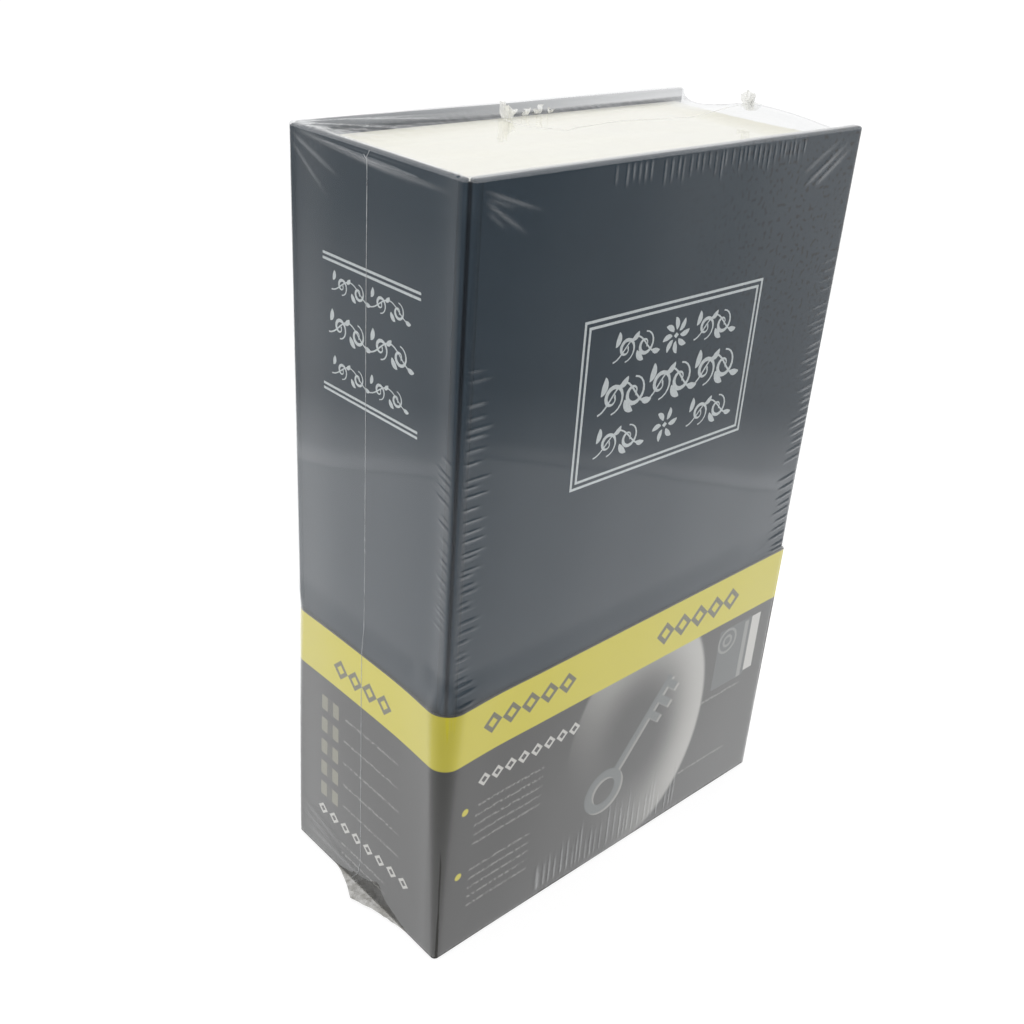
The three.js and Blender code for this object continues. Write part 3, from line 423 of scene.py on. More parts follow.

# %% [markdown]
# ## The cloth joints
# Between the spine and each board the cloth alone bridges a groove, and bends there when the cover
# opens. It comes off each board in a soft shoulder and dips between the two. A chain of edges with
# that outline is extruded to the book's height, and solidify gives it thickness. Extrude leaves the
# new edges and faces in an order that varies from run to run, so they are sorted afterwards. The
# front joint rides on neither body, and its place is baked into its mesh.

# %% Joint cloths
JOINT_CLOTH = 0.3
LAP = 3.0
SHOULDER_AT, SHOULDER_ROUND, SHOULDER_STEPS = 1.55, 0.42, 5
CLOTH_SUNK = 0.12
GROOVE_BEND = 0.85
JOINT_ROWS = 24
ROW_WEIGHT = 4  # Half a row up has to count for more than the outline's whole length.


def groove_outline():
    """The cloth's outline from the spine's face to the board's, as distances from both faces."""
    half = [(CLOTH_SUNK, LAP)]
    for i in range(SHOULDER_STEPS + 1):
        angle = math.pi / 2 * i / SHOULDER_STEPS
        half.append((
            CLOTH_SUNK + SHOULDER_ROUND * (1 - math.cos(angle)),
            SHOULDER_AT - SHOULDER_ROUND * math.sin(angle),
        ))
    depth = half[-1][1]
    bend = [(depth * GROOVE_BEND, depth), (depth, depth * GROOVE_BEND)]
    return half + bend + [(b, a) for a, b in reversed(half)]


def sort_rows(bm, side):
    """Put the parts of the cloth in order: from the tail up, and in a row from the board's side."""
    heading = Vector((1, -side, ROW_WEIGHT))

    def rank(part):
        corners = getattr(part, "verts", [part])
        return sum(heading.dot(corner.co) for corner in corners) / len(corners)

    for parts in (bm.verts, bm.edges, bm.faces):
        parts.sort(key=rank)


def joint_cloth(node, corner_y, side):
    """The cloth in the groove at one of the spine's long edges, as tall as the loaded node."""
    low, high = box_mm(node)
    bm = bmesh.new()
    chain = [
        bm.verts.new((BOOK_LOW.x + from_spine, corner_y + side * from_board, low.z))
        for from_spine, from_board in groove_outline()
    ]
    edges = [bm.edges.new(pair) for pair in zip(chain, chain[1:])]
    for _ in range(JOINT_ROWS):
        made = bmesh.ops.extrude_edge_only(bm, edges=edges)["geom"]
        edges = [item for item in made if isinstance(item, bmesh.types.BMEdge)]
        raised = [item for item in made if isinstance(item, bmesh.types.BMVert)]
        edges = [e for e in edges if all(v in raised for v in e.verts)]
        bmesh.ops.translate(bm, vec=(0, 0, (high.z - low.z) / JOINT_ROWS), verts=raised)
    sort_rows(bm, side)
    bmesh.ops.recalc_face_normals(bm, faces=bm.faces[:])
    return bm


for node, corner_y, side in (("front_joint", BOOK_LOW.y, 1), ("back_joint", BOOK_HIGH.y, -1)):
    bm = joint_cloth(node, corner_y, side)
    made = piece("cloth_" + node, bm, GROOVE_SHADED_CLOTH, None if side > 0 else "case", [node])
    thick = made.modifiers.new("thickness", "SOLIDIFY")
    thick.thickness = JOINT_CLOTH * MM
    thick.offset = 0
    if side > 0:
        corner = Vector((BOOK_LOW.x, corner_y, 0))
        ends = corner + Vector((0, SHOULDER_AT, 0)), corner + Vector((SHOULDER_AT, 0, 0))
        ends[0] * MM
        ends[1] * MM
        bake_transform(made)
    print(made.name, len(made.data.polygons), "faces")

for node in ("front_pastedown", "back_pastedown"):
    frame["nodes"][node].data.materials.clear()
    frame["nodes"][node].data.materials.append(ENDLINING)

# %% [markdown]
# ## The page block
# The block is one plastic moulding with fine lines that pass for page edges. The loaded block keeps
# its pocket and ribs, and gets a copy with merged corners and a small bevel. The lines are too fine
# for the block itself, so three thin grids lie on its head, fore-edge and tail, with every row of
# vertices set a little in or out at random. Each grid starts flat and is turned to its side.

# %% Page plastic and the block
PAGE_CREAM = (0.97, 0.95, 0.815)
PAGE_SHADE = (0.80, 0.765, 0.64)
PAGE_COUNT, PAGE_STEPS, PAGE_SEED = 108, 14, 11
PAGE_RELIEF, PAGE_LIFT, PAGE_MARGIN = 0.09, 0.12, 0.3
PAGE_WANDER_SIZE, PAGE_LINE_SIZE, PAGE_CLOUD_SIZE, PAGE_BUMP = 30, 0.3, 25, 0.05
MERGED_WITHIN, FLAT_DEG = 2e-6, 0.5


def page_plastic():
    plastic = Finish("page_plastic", PAGE_CREAM)
    place = plastic.place()
    x, y, z = plastic.axes(place)
    wander = plastic.noise(place, PAGE_WANDER_SIZE, 2) * 0.5
    line = plastic.noise(plastic.node("CombineXYZ", inputs={1: y + wander}), PAGE_LINE_SIZE, 2, 0.7)
    clouds = plastic.noise(place, PAGE_CLOUD_SIZE, 3)
    shade = (line.smooth(0.35, 0.75) * 0.45 + clouds * 0.3).clamped()
    return plastic.surface(
        Base_Color=plastic.mix(shade, PAGE_CREAM, PAGE_SHADE),
        Roughness=line * 0.15 + 0.5,
        Normal=plastic.bump(line, PAGE_BUMP),
    )


PAGE_PLASTIC = page_plastic()


def softened(node, finish, edge, segments=2, limit_deg=30):
    """A merged copy of a loaded piece with a small bevel on its sharp edges takes its place."""
    bm = bmesh.new()
    bm.from_mesh(frame["nodes"][node].data)
    bmesh.ops.remove_doubles(bm, verts=bm.verts, dist=MERGED_WITHIN)
    flat = math.radians(FLAT_DEG)
    bmesh.ops.dissolve_limit(bm, angle_limit=flat, verts=bm.verts, edges=bm.edges, delimit={"NORMAL"})
    mesh = bpy.data.meshes.new("soft_" + node)
    bm.to_mesh(mesh)
    bm.free()
    body = frame["nodes"][node]["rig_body"]
    made = piece_of_mesh("soft_" + node, mesh, finish, body, [node], limit_deg)
    rounding = made.modifiers.new("soft edges", "BEVEL")
    rounding.width = edge * MM
    rounding.segments = segments
    rounding.limit_method = "ANGLE"
    rounding.angle_limit = math.radians(limit_deg)
    rounding.harden_normals = True
    return made


softened("page_block", PAGE_PLASTIC, 0.25)
FORE_HOLLOW = 2.5


def fore_edge_x(y):
    """The block's hollow fore-edge: an arc through its two corners and its deepest point."""
    half = (BLOCK_HIGH.y - BLOCK_LOW.y) / 2
    radius = (half**2 + FORE_HOLLOW**2) / (2 * FORE_HOLLOW)
    offset = y - (BLOCK_HIGH.y + BLOCK_LOW.y) / 2
    return BLOCK_HIGH.x - FORE_HOLLOW + radius - math.sqrt(radius**2 - offset**2)


def page_lines(name, side):
    """A thin sheet of page edges on the head (side 1), the tail (side -1) or the fore-edge (side 0)."""
    rng = random.Random(PAGE_SEED + side)
    relief = [rng.uniform(-1, 1) * PAGE_RELIEF for _ in range(2 * PAGE_COUNT + 1)]
    bm = bmesh.new()
    bmesh.ops.create_grid(bm, x_segments=PAGE_STEPS, y_segments=2 * PAGE_COUNT, size=0.5)
    first, last = BLOCK_LOW.y + PAGE_MARGIN, BLOCK_HIGH.y - PAGE_MARGIN
    for vert in bm.verts:
        row = round((vert.co.y + 0.5) * 2 * PAGE_COUNT)
        y = first + (vert.co.y + 0.5) * (last - first)
        along = vert.co.x + 0.5
        if side:
            x = BLOCK_LOW.x + along * (fore_edge_x(y) - BLOCK_LOW.x)
            face = BLOCK_HIGH.z if side > 0 else BLOCK_LOW.z
            vert.co = (x, y, face + side * (PAGE_LIFT + relief[row]))
        else:
            z = BLOCK_LOW.z + along * (BLOCK_HIGH.z - BLOCK_LOW.z)
            vert.co = (fore_edge_x(y) + PAGE_LIFT + relief[row], y, z)
    facing = Vector((0, 0, side)) if side else Vector((1, 0, 0))
    bm.normal_update()
    if sum(face.normal.dot(facing) for face in bm.faces) < 0:
        bmesh.ops.reverse_faces(bm, faces=bm.faces[:])
    return piece(name, bm, PAGE_PLASTIC, "case", sharp_deg=80, outwards=False)


for name, side in (("page_lines_head", 1), ("page_lines_tail", -1), ("page_lines_fore_edge", 0)):
    print(name, len(page_lines(name, side).data.polygons), "faces")

# %% [markdown]
# ## The cash box and its lock
# The box is pressed sheet steel with a black powder coat, the lock is nickel-plated, and screws,
# rivets, hinge pin and strike are zinc-plated. The loaded pieces already have the right forms, so
# each gets a copy with merged corners and a bevel modifier, which catches the light on its folds as
# bent sheet does.

# %% Powder coat, zinc and nickel
POWDER_BLACK, POWDER_DUSTY = (0.016, 0.018, 0.021), (0.030, 0.032, 0.035)
ZINC_PALE, ZINC_DARK = (0.60, 0.61, 0.62), (0.42, 0.44, 0.47)
NICKEL, NICKEL_SMEARED = (0.74, 0.72, 0.68), (0.62, 0.595, 0.54)
PEEL_SIZE, PEEL_RELIEF, DUST_SIZE = 0.55, 0.035, 12
SPANGLE_SIZE, DRAWN_SIZE, DRAWN_RELIEF = 1.6, 0.25, 0.006
SMEAR_SIZE, POLISH_SIZE, POLISH_RELIEF = 5, 0.2, 0.003


def powder_coat():
    coat = Finish("powder_coat", POWDER_BLACK)
    place = coat.place()
    peel = coat.noise(place, PEEL_SIZE, 2, 0.6)
    dust = coat.noise(place, DUST_SIZE, 3).smooth(0.45, 0.8)
    return coat.surface(
        Base_Color=coat.mix(dust * 0.4, POWDER_BLACK, POWDER_DUSTY),
        Roughness=peel * 0.2 + 0.34,
        Normal=coat.bump(peel, PEEL_RELIEF),
    )


def zinc_plate():
    zinc = Finish("zinc_plate", ZINC_PALE)
    place = zinc.place()
    spangle = zinc.noise(place, SPANGLE_SIZE, 3, 0.6)
    lengthwise = zinc.node("Mapping", inputs={"Vector": place, "Scale": (1, 1, 0.06)})
    drawn = zinc.noise(lengthwise, DRAWN_SIZE, 2)
    return zinc.surface(
        Base_Color=zinc.mix(spangle.smooth(0.3, 0.7), ZINC_DARK, ZINC_PALE),
        Metallic=1.0,
        Roughness=drawn * 0.25 + 0.22,
        Normal=zinc.bump(drawn, DRAWN_RELIEF),
    )


def nickel_plate():
    nickel = Finish("nickel_plate", NICKEL)
    place = nickel.place()
    smears = nickel.noise(place, SMEAR_SIZE, 4, 0.65)
    lengthwise = nickel.node("Mapping", inputs={"Vector": place, "Scale": (1, 0.1, 1)})
    fine = nickel.noise(lengthwise, POLISH_SIZE, 2)
    return nickel.surface(
        Base_Color=nickel.mix(smears * 0.5, NICKEL, NICKEL_SMEARED),
        Metallic=1.0,
        Roughness=smears * 0.12 + fine * 0.06 + 0.08,
        Normal=nickel.bump(fine, POLISH_RELIEF),
    )


METAL_OF_SLOT = {"box_steel": powder_coat(), "bare_steel": zinc_plate(), "nickel": nickel_plate()}
FINE_EDGE, SHEET_EDGE = 0.12, 0.22
print("metals:", [metal.name for metal in METAL_OF_SLOT.values()])

# %% Soften every steel piece
for node, slot_name in SLOT_OF.items():
    if slot_name in METAL_OF_SLOT:
        edge = SHEET_EDGE if slot_name == "box_steel" else FINE_EDGE
        made = softened(node, METAL_OF_SLOT[slot_name], edge)

# %% [markdown]
# ## Silver foil on the cloth
# A heated die presses foil into the cloth: a double-line frame on the front board and two pairs of
# rules on the spine. Inside them stand rows of ornament, made here as plain vines of scrolls and
# leaves. Each line of a scroll is a curve whose radius swells and thins. The curve is made a mesh,
# pressed flat, and only then set on its face.

# %% The foil finish
FOIL_SILVER = (0.71, 0.755, 0.765)
FOIL_WORN = (0.40, 0.44, 0.455)
FOIL_PROUD, FOIL_RUB_SIZE, FOIL_RELIEF = 0.05, 0.5, 0.02


def silver_foil():
    foil = Finish("silver_foil", FOIL_SILVER)
    place = foil.place()
    rubbed = foil.noise(place, FOIL_RUB_SIZE, 3, 0.7)
    return foil.surface(
        Base_Color=foil.mix(rubbed.smooth(0.35, 0.75) * 0.4, FOIL_SILVER, FOIL_WORN),
        Metallic=0.35,
        Roughness=rubbed * 0.3 + 0.3,
        Normal=foil.bump(threads(foil, place), FOIL_RELIEF),
    )


SILVER = silver_foil()
print("foil stands", FOIL_PROUD, "mm proud of the cloth")

# %% Straight foil lines
FRAME_OUTER = (-26.6, 113.1, 29.1, 149.8)
FRAME_LINE = 0.58
FRAME_STEP = 1.35
RULE_ENDS = (-15.4, 15.6)
RULE_HEIGHTS = (157.35, 156.25, 129.95, 128.85)
RULE_LINE = 0.52


def foil_bar(bm, low, high):
    """One straight line of foil between two corners of a face, each as (across, up)."""
    start, end = Vector((low[0], -FOIL_PROUD, low[1])), Vector((high[0], FOIL_PROUD, high[1]))
    made = bmesh.ops.create_cube(bm, size=1)["verts"]
    bmesh.ops.scale(bm, vec=end - start, verts=made)
    bmesh.ops.translate(bm, vec=(start + end) / 2, verts=made)


def on_face(bm, face):
    """Lays flat foil, drawn in X and Z round Y = 0, on the front board or on the spine."""
    if face == "spine":
        bmesh.ops.rotate(bm, cent=(0, 0, 0), matrix=Matrix.Rotation(-math.pi / 2, 3, "Z"), verts=bm.verts)
        bmesh.ops.translate(bm, vec=(BOOK_LOW.x, 0, 0), verts=bm.verts)
    else:
        bmesh.ops.translate(bm, vec=(0, BOOK_LOW.y, 0), verts=bm.verts)


def foil_frame():
    bm = bmesh.new()
    x0, z0, x1, z1 = FRAME_OUTER
    for inset in (0, FRAME_STEP):
        left, right, low, high = x0 + inset, x1 - inset, z0 + inset, z1 - inset
        for start, end in (
            ((left, high - FRAME_LINE), (right, high)),
            ((left, low), (right, low + FRAME_LINE)),
            ((left, low + FRAME_LINE), (left + FRAME_LINE, high - FRAME_LINE)),
            ((right - FRAME_LINE, low + FRAME_LINE), (right, high - FRAME_LINE)),
        ):
            foil_bar(bm, start, end)
    on_face(bm, "front")
    return piece("foil_frame", bm, SILVER, "cover")


def foil_rules():
    bm = bmesh.new()
    for height in RULE_HEIGHTS:
        foil_bar(bm, (RULE_ENDS[0], height - RULE_LINE / 2), (RULE_ENDS[1], height + RULE_LINE / 2))
    on_face(bm, "spine")
    return piece("foil_rules", bm, SILVER, "case")


print(foil_frame().name, foil_rules().name)

# %% Scrolls and leaves
SCROLL_STEPS, LEAF_STEPS, STEM_STEPS = 26, 8, 10
SCROLL_TURNS, SCROLL_CURL, LEAF_BOW_DEG = 1.35, 0.84, 28
# Two leaves beside each scroll: place along the step and up the swing, size, lean and thickness.
STEM_LEAVES = ((-0.42, 0.25, 0.9, 62, 1.5), (0.30, 0.45, 0.7, 25, 1.3))


def scroll(centre, size, start_deg, turns, weight):
    """A spiral from its rim to its eye: points with a half-width each."""
    line = []
    for i in range(SCROLL_STEPS + 1):
        share = i / SCROLL_STEPS
        angle = math.radians(start_deg + 360 * turns * share)
        reach = size * (1 - SCROLL_CURL * share)
        half = weight * (0.45 + 0.75 * math.sin(math.pi * min(1, share * 1.15)) ** 2)
        line.append((centre[0] + reach * math.cos(angle), centre[1] + reach * math.sin(angle), half))
    x, z, _ = line[-1]
    thin, thick = weight * 0.3, weight * 1.3
    return [line, [(x, z, thin), (x + weight * 0.2, z, thick), (x + weight, z, thin)]]


def leaf(root, size, lean_deg, weight):
    """A leaf: a short bowed line, thick in its middle."""
    line = []
    for i in range(LEAF_STEPS + 1):
        share = i / LEAF_STEPS
        angle = math.radians(lean_deg + LEAF_BOW_DEG * (share - 0.5))
        line.append((
            root[0] + size * share * math.cos(angle),
            root[1] + size * share * math.sin(angle),
            weight * (0.12 + math.sin(math.pi * share) ** 0.8),
        ))
    return [line]


def vine(left, right, middle, swing, count, weight):
    """A running stem that swings up and down, with a scroll in each bend and leaves between."""
    step = (right - left) / count
    stem = []
    for i in range(count * STEM_STEPS + 1):
        share = i / (count * STEM_STEPS)
        wave = math.cos(math.pi * count * share)
        stem.append((left + (right - left) * share, middle - swing * 0.62 * wave, weight * 0.42))
    lines = [stem]
    for i in range(count):
        side = 1 if i % 2 == 0 else -1
        x = left + step * (i + 0.5)
        eye = (x + 0.06 * step * side, middle)
        lines += scroll(eye, swing * 0.78, -90 * side, SCROLL_TURNS * side, weight * 0.8)
        for aside, up, size, lean_deg, thick in STEM_LEAVES:
            root = (x + aside * step, middle + side * swing * up)
            lines += leaf(root, swing * size, lean_deg * side, weight * thick)
    return lines


def rosette(centre, size, petals, weight):
    """A ring of leaves round a dot."""
    x, z = centre
    lines = [[(x - weight, z, 0.05), (x, z, weight), (x + weight, z, 0.05)]]
    for i in range(petals):
        angle = math.tau * i / petals
        root = (x + size * 0.3 * math.cos(angle), z + size * 0.3 * math.sin(angle))
        lines += leaf(root, size * 0.7, math.degrees(angle), weight * 0.9)
    return lines


def curve_bmesh(name, lines):
    """Curves, given as rows of x, y, z and radius, made one mesh."""
    drawn = bpy.data.curves.new(name, "CURVE")
    drawn.dimensions = "3D"
    drawn.bevel_depth = 1
    drawn.bevel_resolution = 1
    drawn.use_fill_caps = True
    for line in lines:
        spline = drawn.splines.new("POLY")
        spline.points.add(len(line) - 1)
        for point, (x, y, z, radius) in zip(spline.points, line):
            point.co = (x, y, z, 1)
            point.radius = radius
    holder = bpy.data.objects.new(name, drawn)
    mesh = bpy.data.meshes.new_from_object(holder)
    bpy.data.objects.remove(holder)
    bm = bmesh.new()
    bm.from_mesh(mesh)
    bpy.data.meshes.remove(mesh)
    return bm


def pressed(name, lines, face, body):
    """Flat curves, given as rows of across, up and half-width, pressed on a face."""
    bm = curve_bmesh(name, [[(x, 0, z, half) for x, z, half in line] for line in lines])
    tallest = max(abs(v.co.y) for v in bm.verts)
    bmesh.ops.scale(bm, vec=(1, FOIL_PROUD / tallest, 1), verts=bm.verts)
    on_face(bm, face)
    return piece(name, bm, SILVER, body, sharp_deg=60)


# Each vine: left, right, middle height, swing, number of scrolls, weight of line.
# Each rosette: centre, size, number of petals, weight of line.
FRONT_VINES = (
    (-17.5, -4.5, 141.8, 3.6, 2, 0.5),
    (7.5, 20.5, 141.8, 3.6, 2, 0.5),
    (-20.5, 23.5, 131.6, 4.6, 6, 0.62),
    (-20.5, -6.0, 121.4, 3.7, 2, 0.5),
    (9.0, 23.5, 121.4, 3.7, 2, 0.5),
)
FRONT_ROSETTES = (((1.5, 141.8), 4.2, 8, 0.75), ((1.5, 121.4), 4.0, 6, 0.75))
SPINE_VINES = (
    (-12.5, 12.5, 152.0, 2.3, 4, 0.36),
    (-13.5, 13.5, 143.3, 2.9, 4, 0.44),
    (-12.5, 12.5, 134.4, 2.3, 4, 0.36),
)
for name, vines, rosettes, face, body in (
    ("foil_ornament_front", FRONT_VINES, FRONT_ROSETTES, "front", "cover"),
    ("foil_ornament_spine", SPINE_VINES, (), "spine", "case"),
):
    lines = [line for row in vines for line in vine(*row)]
    lines += [line for row in rosettes for line in rosette(*row)]
    print(name, len(pressed(name, lines, face, body).data.polygons), "faces")

# %% [markdown]
# ## The card sleeve
# The sleeve is a strip of thin card bent round the book. Bent card never follows a corner exactly:
# it stands off and takes a wide round, as the photograph shows at both spine corners. So each part
# starts as a flat grid, and its vertices are carried along a path seen from above, made of straight
# runs and arcs. The flat length goes into the UV map first, so that the printed design bends with
# the card. On the front the upper edge rises a little towards the fore-edge.

# %% The sleeve's path from above
CARD = 0.4
TAIL_BEND, TOP_BEND, BEND_GROWTH = 0.8, 4.3, 1.3
FORE_EDGE_BEND = 0.75
STAND_OFF, STAND_OFF_TAIL = 1.0, 0.1
STAND_OFF_REACH = 11
BACK_STAND_OFF = 0.25
SLEEVE_IN = 0.15
SLEEVE_RISE, RISE_FROM, RISE_OVER = 1.9, 25, 90
FLAP_LENGTH = 30
FLAP_GAP = 0.8
TURN_IN = 3.0
RUN_STEP, FOLD_STEPS, CORNER_STEPS = 3.0, 3, 12
SLEEVE_ROWS = 24


def spine_bend(z):
    """The radius of the bend at the spine's corners: tight at the tail and wide at the upper edge."""
    return TAIL_BEND + (TOP_BEND - TAIL_BEND) * np.clip(z / SLEEVE_HIGH.z, 0, 1) ** BEND_GROWTH


def strip(bend):
    """The strip's runs and bends from flap to turn-in, each as (length, turn in degrees, steps)."""
    clear = 2 * SLEEVE_IN + CARD
    width = BOOK_HIGH.x - BOOK_LOW.x + clear
    thick = BOOK_HIGH.y - BOOK_LOW.y + clear
    board = FRONT_HIGH.y - FRONT_LOW.y + FLAP_GAP + SLEEVE_IN + CARD / 2
    fold = (FORE_EDGE_BEND * math.pi / 2, -90, FOLD_STEPS)
    corner = (bend * math.pi / 2, -90, CORNER_STEPS)
    side = (width - FORE_EDGE_BEND - bend, 0, round(width / RUN_STEP))
    return [
        (FLAP_LENGTH + SLEEVE_IN + CARD / 2 - FORE_EDGE_BEND, 0, round(FLAP_LENGTH / RUN_STEP)),
        fold,
        (board - 2 * FORE_EDGE_BEND, 0, 2),
        fold,
        side,
        corner,
        (thick - 2 * bend, 0, round(thick / RUN_STEP)),
        corner,
        side,
        fold,
        (TURN_IN, 0, 2),
    ]


def bent_path(bend):
    """Points along the strip, as rows of length so far, x, y and the outward direction."""
    x, y, heading, travelled = BOOK_HIGH.x - FLAP_LENGTH, FRONT_HIGH.y + FLAP_GAP, 0.0, 0.0
    rows = [(0.0, x, y, 0.0, 1.0)]
    for length, turn_deg, steps in strip(bend):
        for _ in range(steps):
            half_turn = math.radians(turn_deg) / steps / 2
            heading += half_turn
            x += math.cos(heading) * length / steps
            y += math.sin(heading) * length / steps
            heading += half_turn
            travelled += length / steps
            rows.append((travelled, x, y, -math.sin(heading), math.cos(heading)))
    return np.array(rows)


def stand_off(x, y, z):
    """How far the sleeve stands off the book beside the spine's corners, most at its upper edge."""
    beside_spine = np.abs(x - BOOK_LOW.x)
    from_corner = beside_spine + np.minimum(np.abs(y - BOOK_LOW.y), np.abs(y - BOOK_HIGH.y))
    lift = STAND_OFF_TAIL + (1 - STAND_OFF_TAIL) * np.clip(z / SLEEVE_HIGH.z, 0, 1)
    lift = lift * np.where(y > 0, BACK_STAND_OFF, 1)
    return STAND_OFF * lift * np.exp(-((from_corner / STAND_OFF_REACH) ** 2))


SLEEVE_PATHS = [bent_path(spine_bend(SLEEVE_HIGH.z * row / SLEEVE_ROWS)) for row in range(SLEEVE_ROWS + 1)]
TOP_PATH = SLEEVE_PATHS[-1]
CORNER_COLUMN = int(np.argmin(TOP_PATH[:, 1] + TOP_PATH[:, 2]))
CORNER_AT = float(TOP_PATH[CORNER_COLUMN, 0])
print("sleeve strip", round(float(TOP_PATH[-1, 0]), 1), "mm long, front corner at", round(CORNER_AT, 1))

# %% [markdown]
# ## The printed card
# The sleeve is printed grey with a yellow band. It is decorated with rows of lozenges, faint ruled
# lines, plain chips, and a key on a pale oval. None of it is an image: each mark is a soft-edged
# formula on the flat card, whose two coordinates come from the UV map, in millimetres from the
# front corner and from the tail. Along that corner, where the card bends away from the light, it
# is darker by a painted shade.

# %% Colours and places of the print
MAP_LENGTH = 400
CARD_GREY = (0.060, 0.058, 0.054)
# The print's deepest grey, which also colours the painted shade along the front corner's bend.
CARD_DEEP_AND_FOLD_SHADE = (0.024, 0.023, 0.021)
CARD_YELLOW, CARD_YELLOW_DEEP = (0.66, 0.585, 0.024), (0.61, 0.54, 0.03)
CARD_PALE = (0.60, 0.59, 0.56)
CARD_PANEL = (0.15, 0.165, 0.165)
CARD_CHIP = (0.30, 0.285, 0.20)
CARD_INK, INK_STRENGTH = (0.115, 0.110, 0.095), 0.92
CARD_FIBRE_SIZE, CARD_CLOUD_SIZE, CARD_RELIEF = 0.7, 18, 0.02
BAND_LOW, BAND_HIGH, BAND_SOFT = 55.4, 69.7, 0.1
PRINT_SOFT, END_SOFT, KEY_SOFT, CHAIN_END_SOFT = 0.14, 0.05, 0.25, 0.02
OVAL_MIDDLE, OVAL_HALF, OVAL_CORE_STRENGTH = (64, 34), (25.5, 35), 0.5
GLOW_FROM, GLOW_SPREAD, GLOW_STRENGTH = (40, 20), (45, 90), 0.85
KEY_BOW, KEY_LEAN_DEG, KEY_RING, KEY_RING_HALF, KEY_STRENGTH = (54, 22), 52, 5.2, 1.3, 0.9
HALO_SHIFT, HALO_STRENGTH = 0.7, 0.5
# Along the key and across it: the middle and the half size of its shaft and its three teeth.
KEY_BARS = (
    ((19.5, 0), (13.5, 1.1)),
    ((22, -3), (1.1, 2.2)),
    ((26.5, -3.4), (1.1, 2.6)),
    ((31, -2.8), (1.1, 2.0)),
)
PANEL, PANEL_STRENGTH = ((99.0, 43.8), (6.6, 9.2)), 0.6
# The middle, the half size and the strength of each bar.
PALE_BARS = (((107.4, 44.2), (1.8, 8.6), 1.0), ((103.6, 43.4), (0.8, 8.8), 0.35))
RING_MIDDLE, RING_RADII, RING_HALF, RING_STRENGTH = (96, 49), (3.4, 1.5), 0.35, 0.3
# Rows of lozenges: left, right, middle height, pitch and half height.
PALE_CHAINS = ((10.2, 42.2, 48.0, 4.0, 1.7), (-44.0, -10.8, 14.6, 4.15, 1.6))
BAND_CHAINS = (
    (10.0, 38.5, 62.9, 5.7, 2.6),
    (66.0, 97.5, 62.3, 6.3, 3.0),
    (-38.5, -17.0, 61.2, 5.375, 2.5),
)
# Groups of faint lines: left, length, top, count and pitch.
FAINT_LINES = (
    (10.6, 21, 42.6, 5, 2.75),
    (10.6, 19, 24.0, 5, 2.75),
    (-34.5, 20, 51.4, 5, 6.7),
    (88, 17, 33.5, 1, 2.6),
    (84, 19, 13.0, 1, 2.6),
    (-35, 16, 10.2, 2, 3.0),
)
LINE_HALF, LINE_SOFT, LINE_END_SOFT, LINE_BREAK_SIZE, FAINT_STRENGTH = 0.36, 0.12, 0.2, 0.7, 0.34
RAGGED_FROM, ROW_JUMP = 0.8, 7.3
DOTS, DOT_RADIUS = ((7.3, 41.3), (7.3, 22.6)), 0.95
CHIP_AT, CHIP_HALF, CHIP_CORE = -39.6, (3.2, 2.1), 1.0
CHIP_LOW, CHIP_PITCH, CHIP_ROWS = 17.9, 6.7, (34.6, 16.8)
CHIP_STRENGTH, CHIP_CORE_STRENGTH = 0.75, 0.8
# The length over which the grey lightens, then the span and strength of the painted shade along the front
# corner's bend.
LIGHTER_OVER, FOLD_SHADE_SPAN, FOLD_SHADE_STRENGTH = 110, (0.4, 5.0), 0.3
print("the band is", round(BAND_HIGH - BAND_LOW, 1), "mm high")


# %% Marks as formulas
def most(marks):
    """The strongest of some marks at each place."""
    strongest = marks[0]
    for mark in marks[1:]:
        strongest = strongest.math("MAXIMUM", mark)
    return strongest


def box_mark(u, z, middle, half, soft=PRINT_SOFT):
    return u.near(middle[0], half[0], soft) * z.near(middle[1], half[1], soft)


def distance(u, z, middle):
    return ((u - middle[0]).math("POWER", 2) + (z - middle[1]).math("POWER", 2)).math("SQRT")


def dot_mark(u, z, middle, radius):
    return 1 - distance(u, z, middle).smooth(radius - PRINT_SOFT, radius + PRINT_SOFT)


def ring_mark(u, z, middle, radius, half):
    return distance(u, z, middle).near(radius, half, PRINT_SOFT)


def repeated(value, start, pitch):
    """The same value again every pitch, measured from the middle of its step."""
    return ((value - start) / pitch).math("FRACT") * pitch - pitch / 2


def lozenges(u, z, left, right, middle, pitch, half):
    """A row of small lozenges between two places."""
    local = repeated(u, left, pitch)
    slant = local.math("ABSOLUTE") + (z - middle).math("ABSOLUTE")
    outline = slant.near(half * 0.8, half * 0.28, PRINT_SOFT)
    return outline * u.near((left + right) / 2, (right - left) / 2, CHAIN_END_SOFT)


def ruled_lines(finish, u, z, place, left, length, top, count, pitch):
    """Faint broken lines, one under another, each with its own ragged end."""
    low = top - count * pitch
    row = repeated(z, low, pitch).near(0, LINE_HALF, LINE_SOFT)
    broken = finish.noise(place, LINE_BREAK_SIZE, 1).smooth(0.42, 0.54)
    row_number = ((z - low) / pitch).math("FLOOR")
    ragged = finish.noise(finish.node("CombineXYZ", inputs={1: row_number * ROW_JUMP}), 1.0, 0)
    shortened = 1 - u.smooth(left + length * RAGGED_FROM, left + length) * ragged
    span = u.near(left + length / 2, length / 2, LINE_END_SOFT) * shortened
    return row * broken * span * z.near((top + low) / 2, (top - low) / 2, END_SOFT)


def key_mark(u, z):
    """A plain key: a ring, a shaft and three teeth, leaning."""
    lean = math.radians(KEY_LEAN_DEG)
    right, up = u - KEY_BOW[0], z - KEY_BOW[1]
    along = right * math.cos(lean) + up * math.sin(lean)
    aside = up * math.cos(lean) - right * math.sin(lean)
    bars = [box_mark(along, aside, middle, half, KEY_SOFT) for middle, half in KEY_BARS]
    return most([ring_mark(u, z, KEY_BOW, KEY_RING, KEY_RING_HALF), *bars])


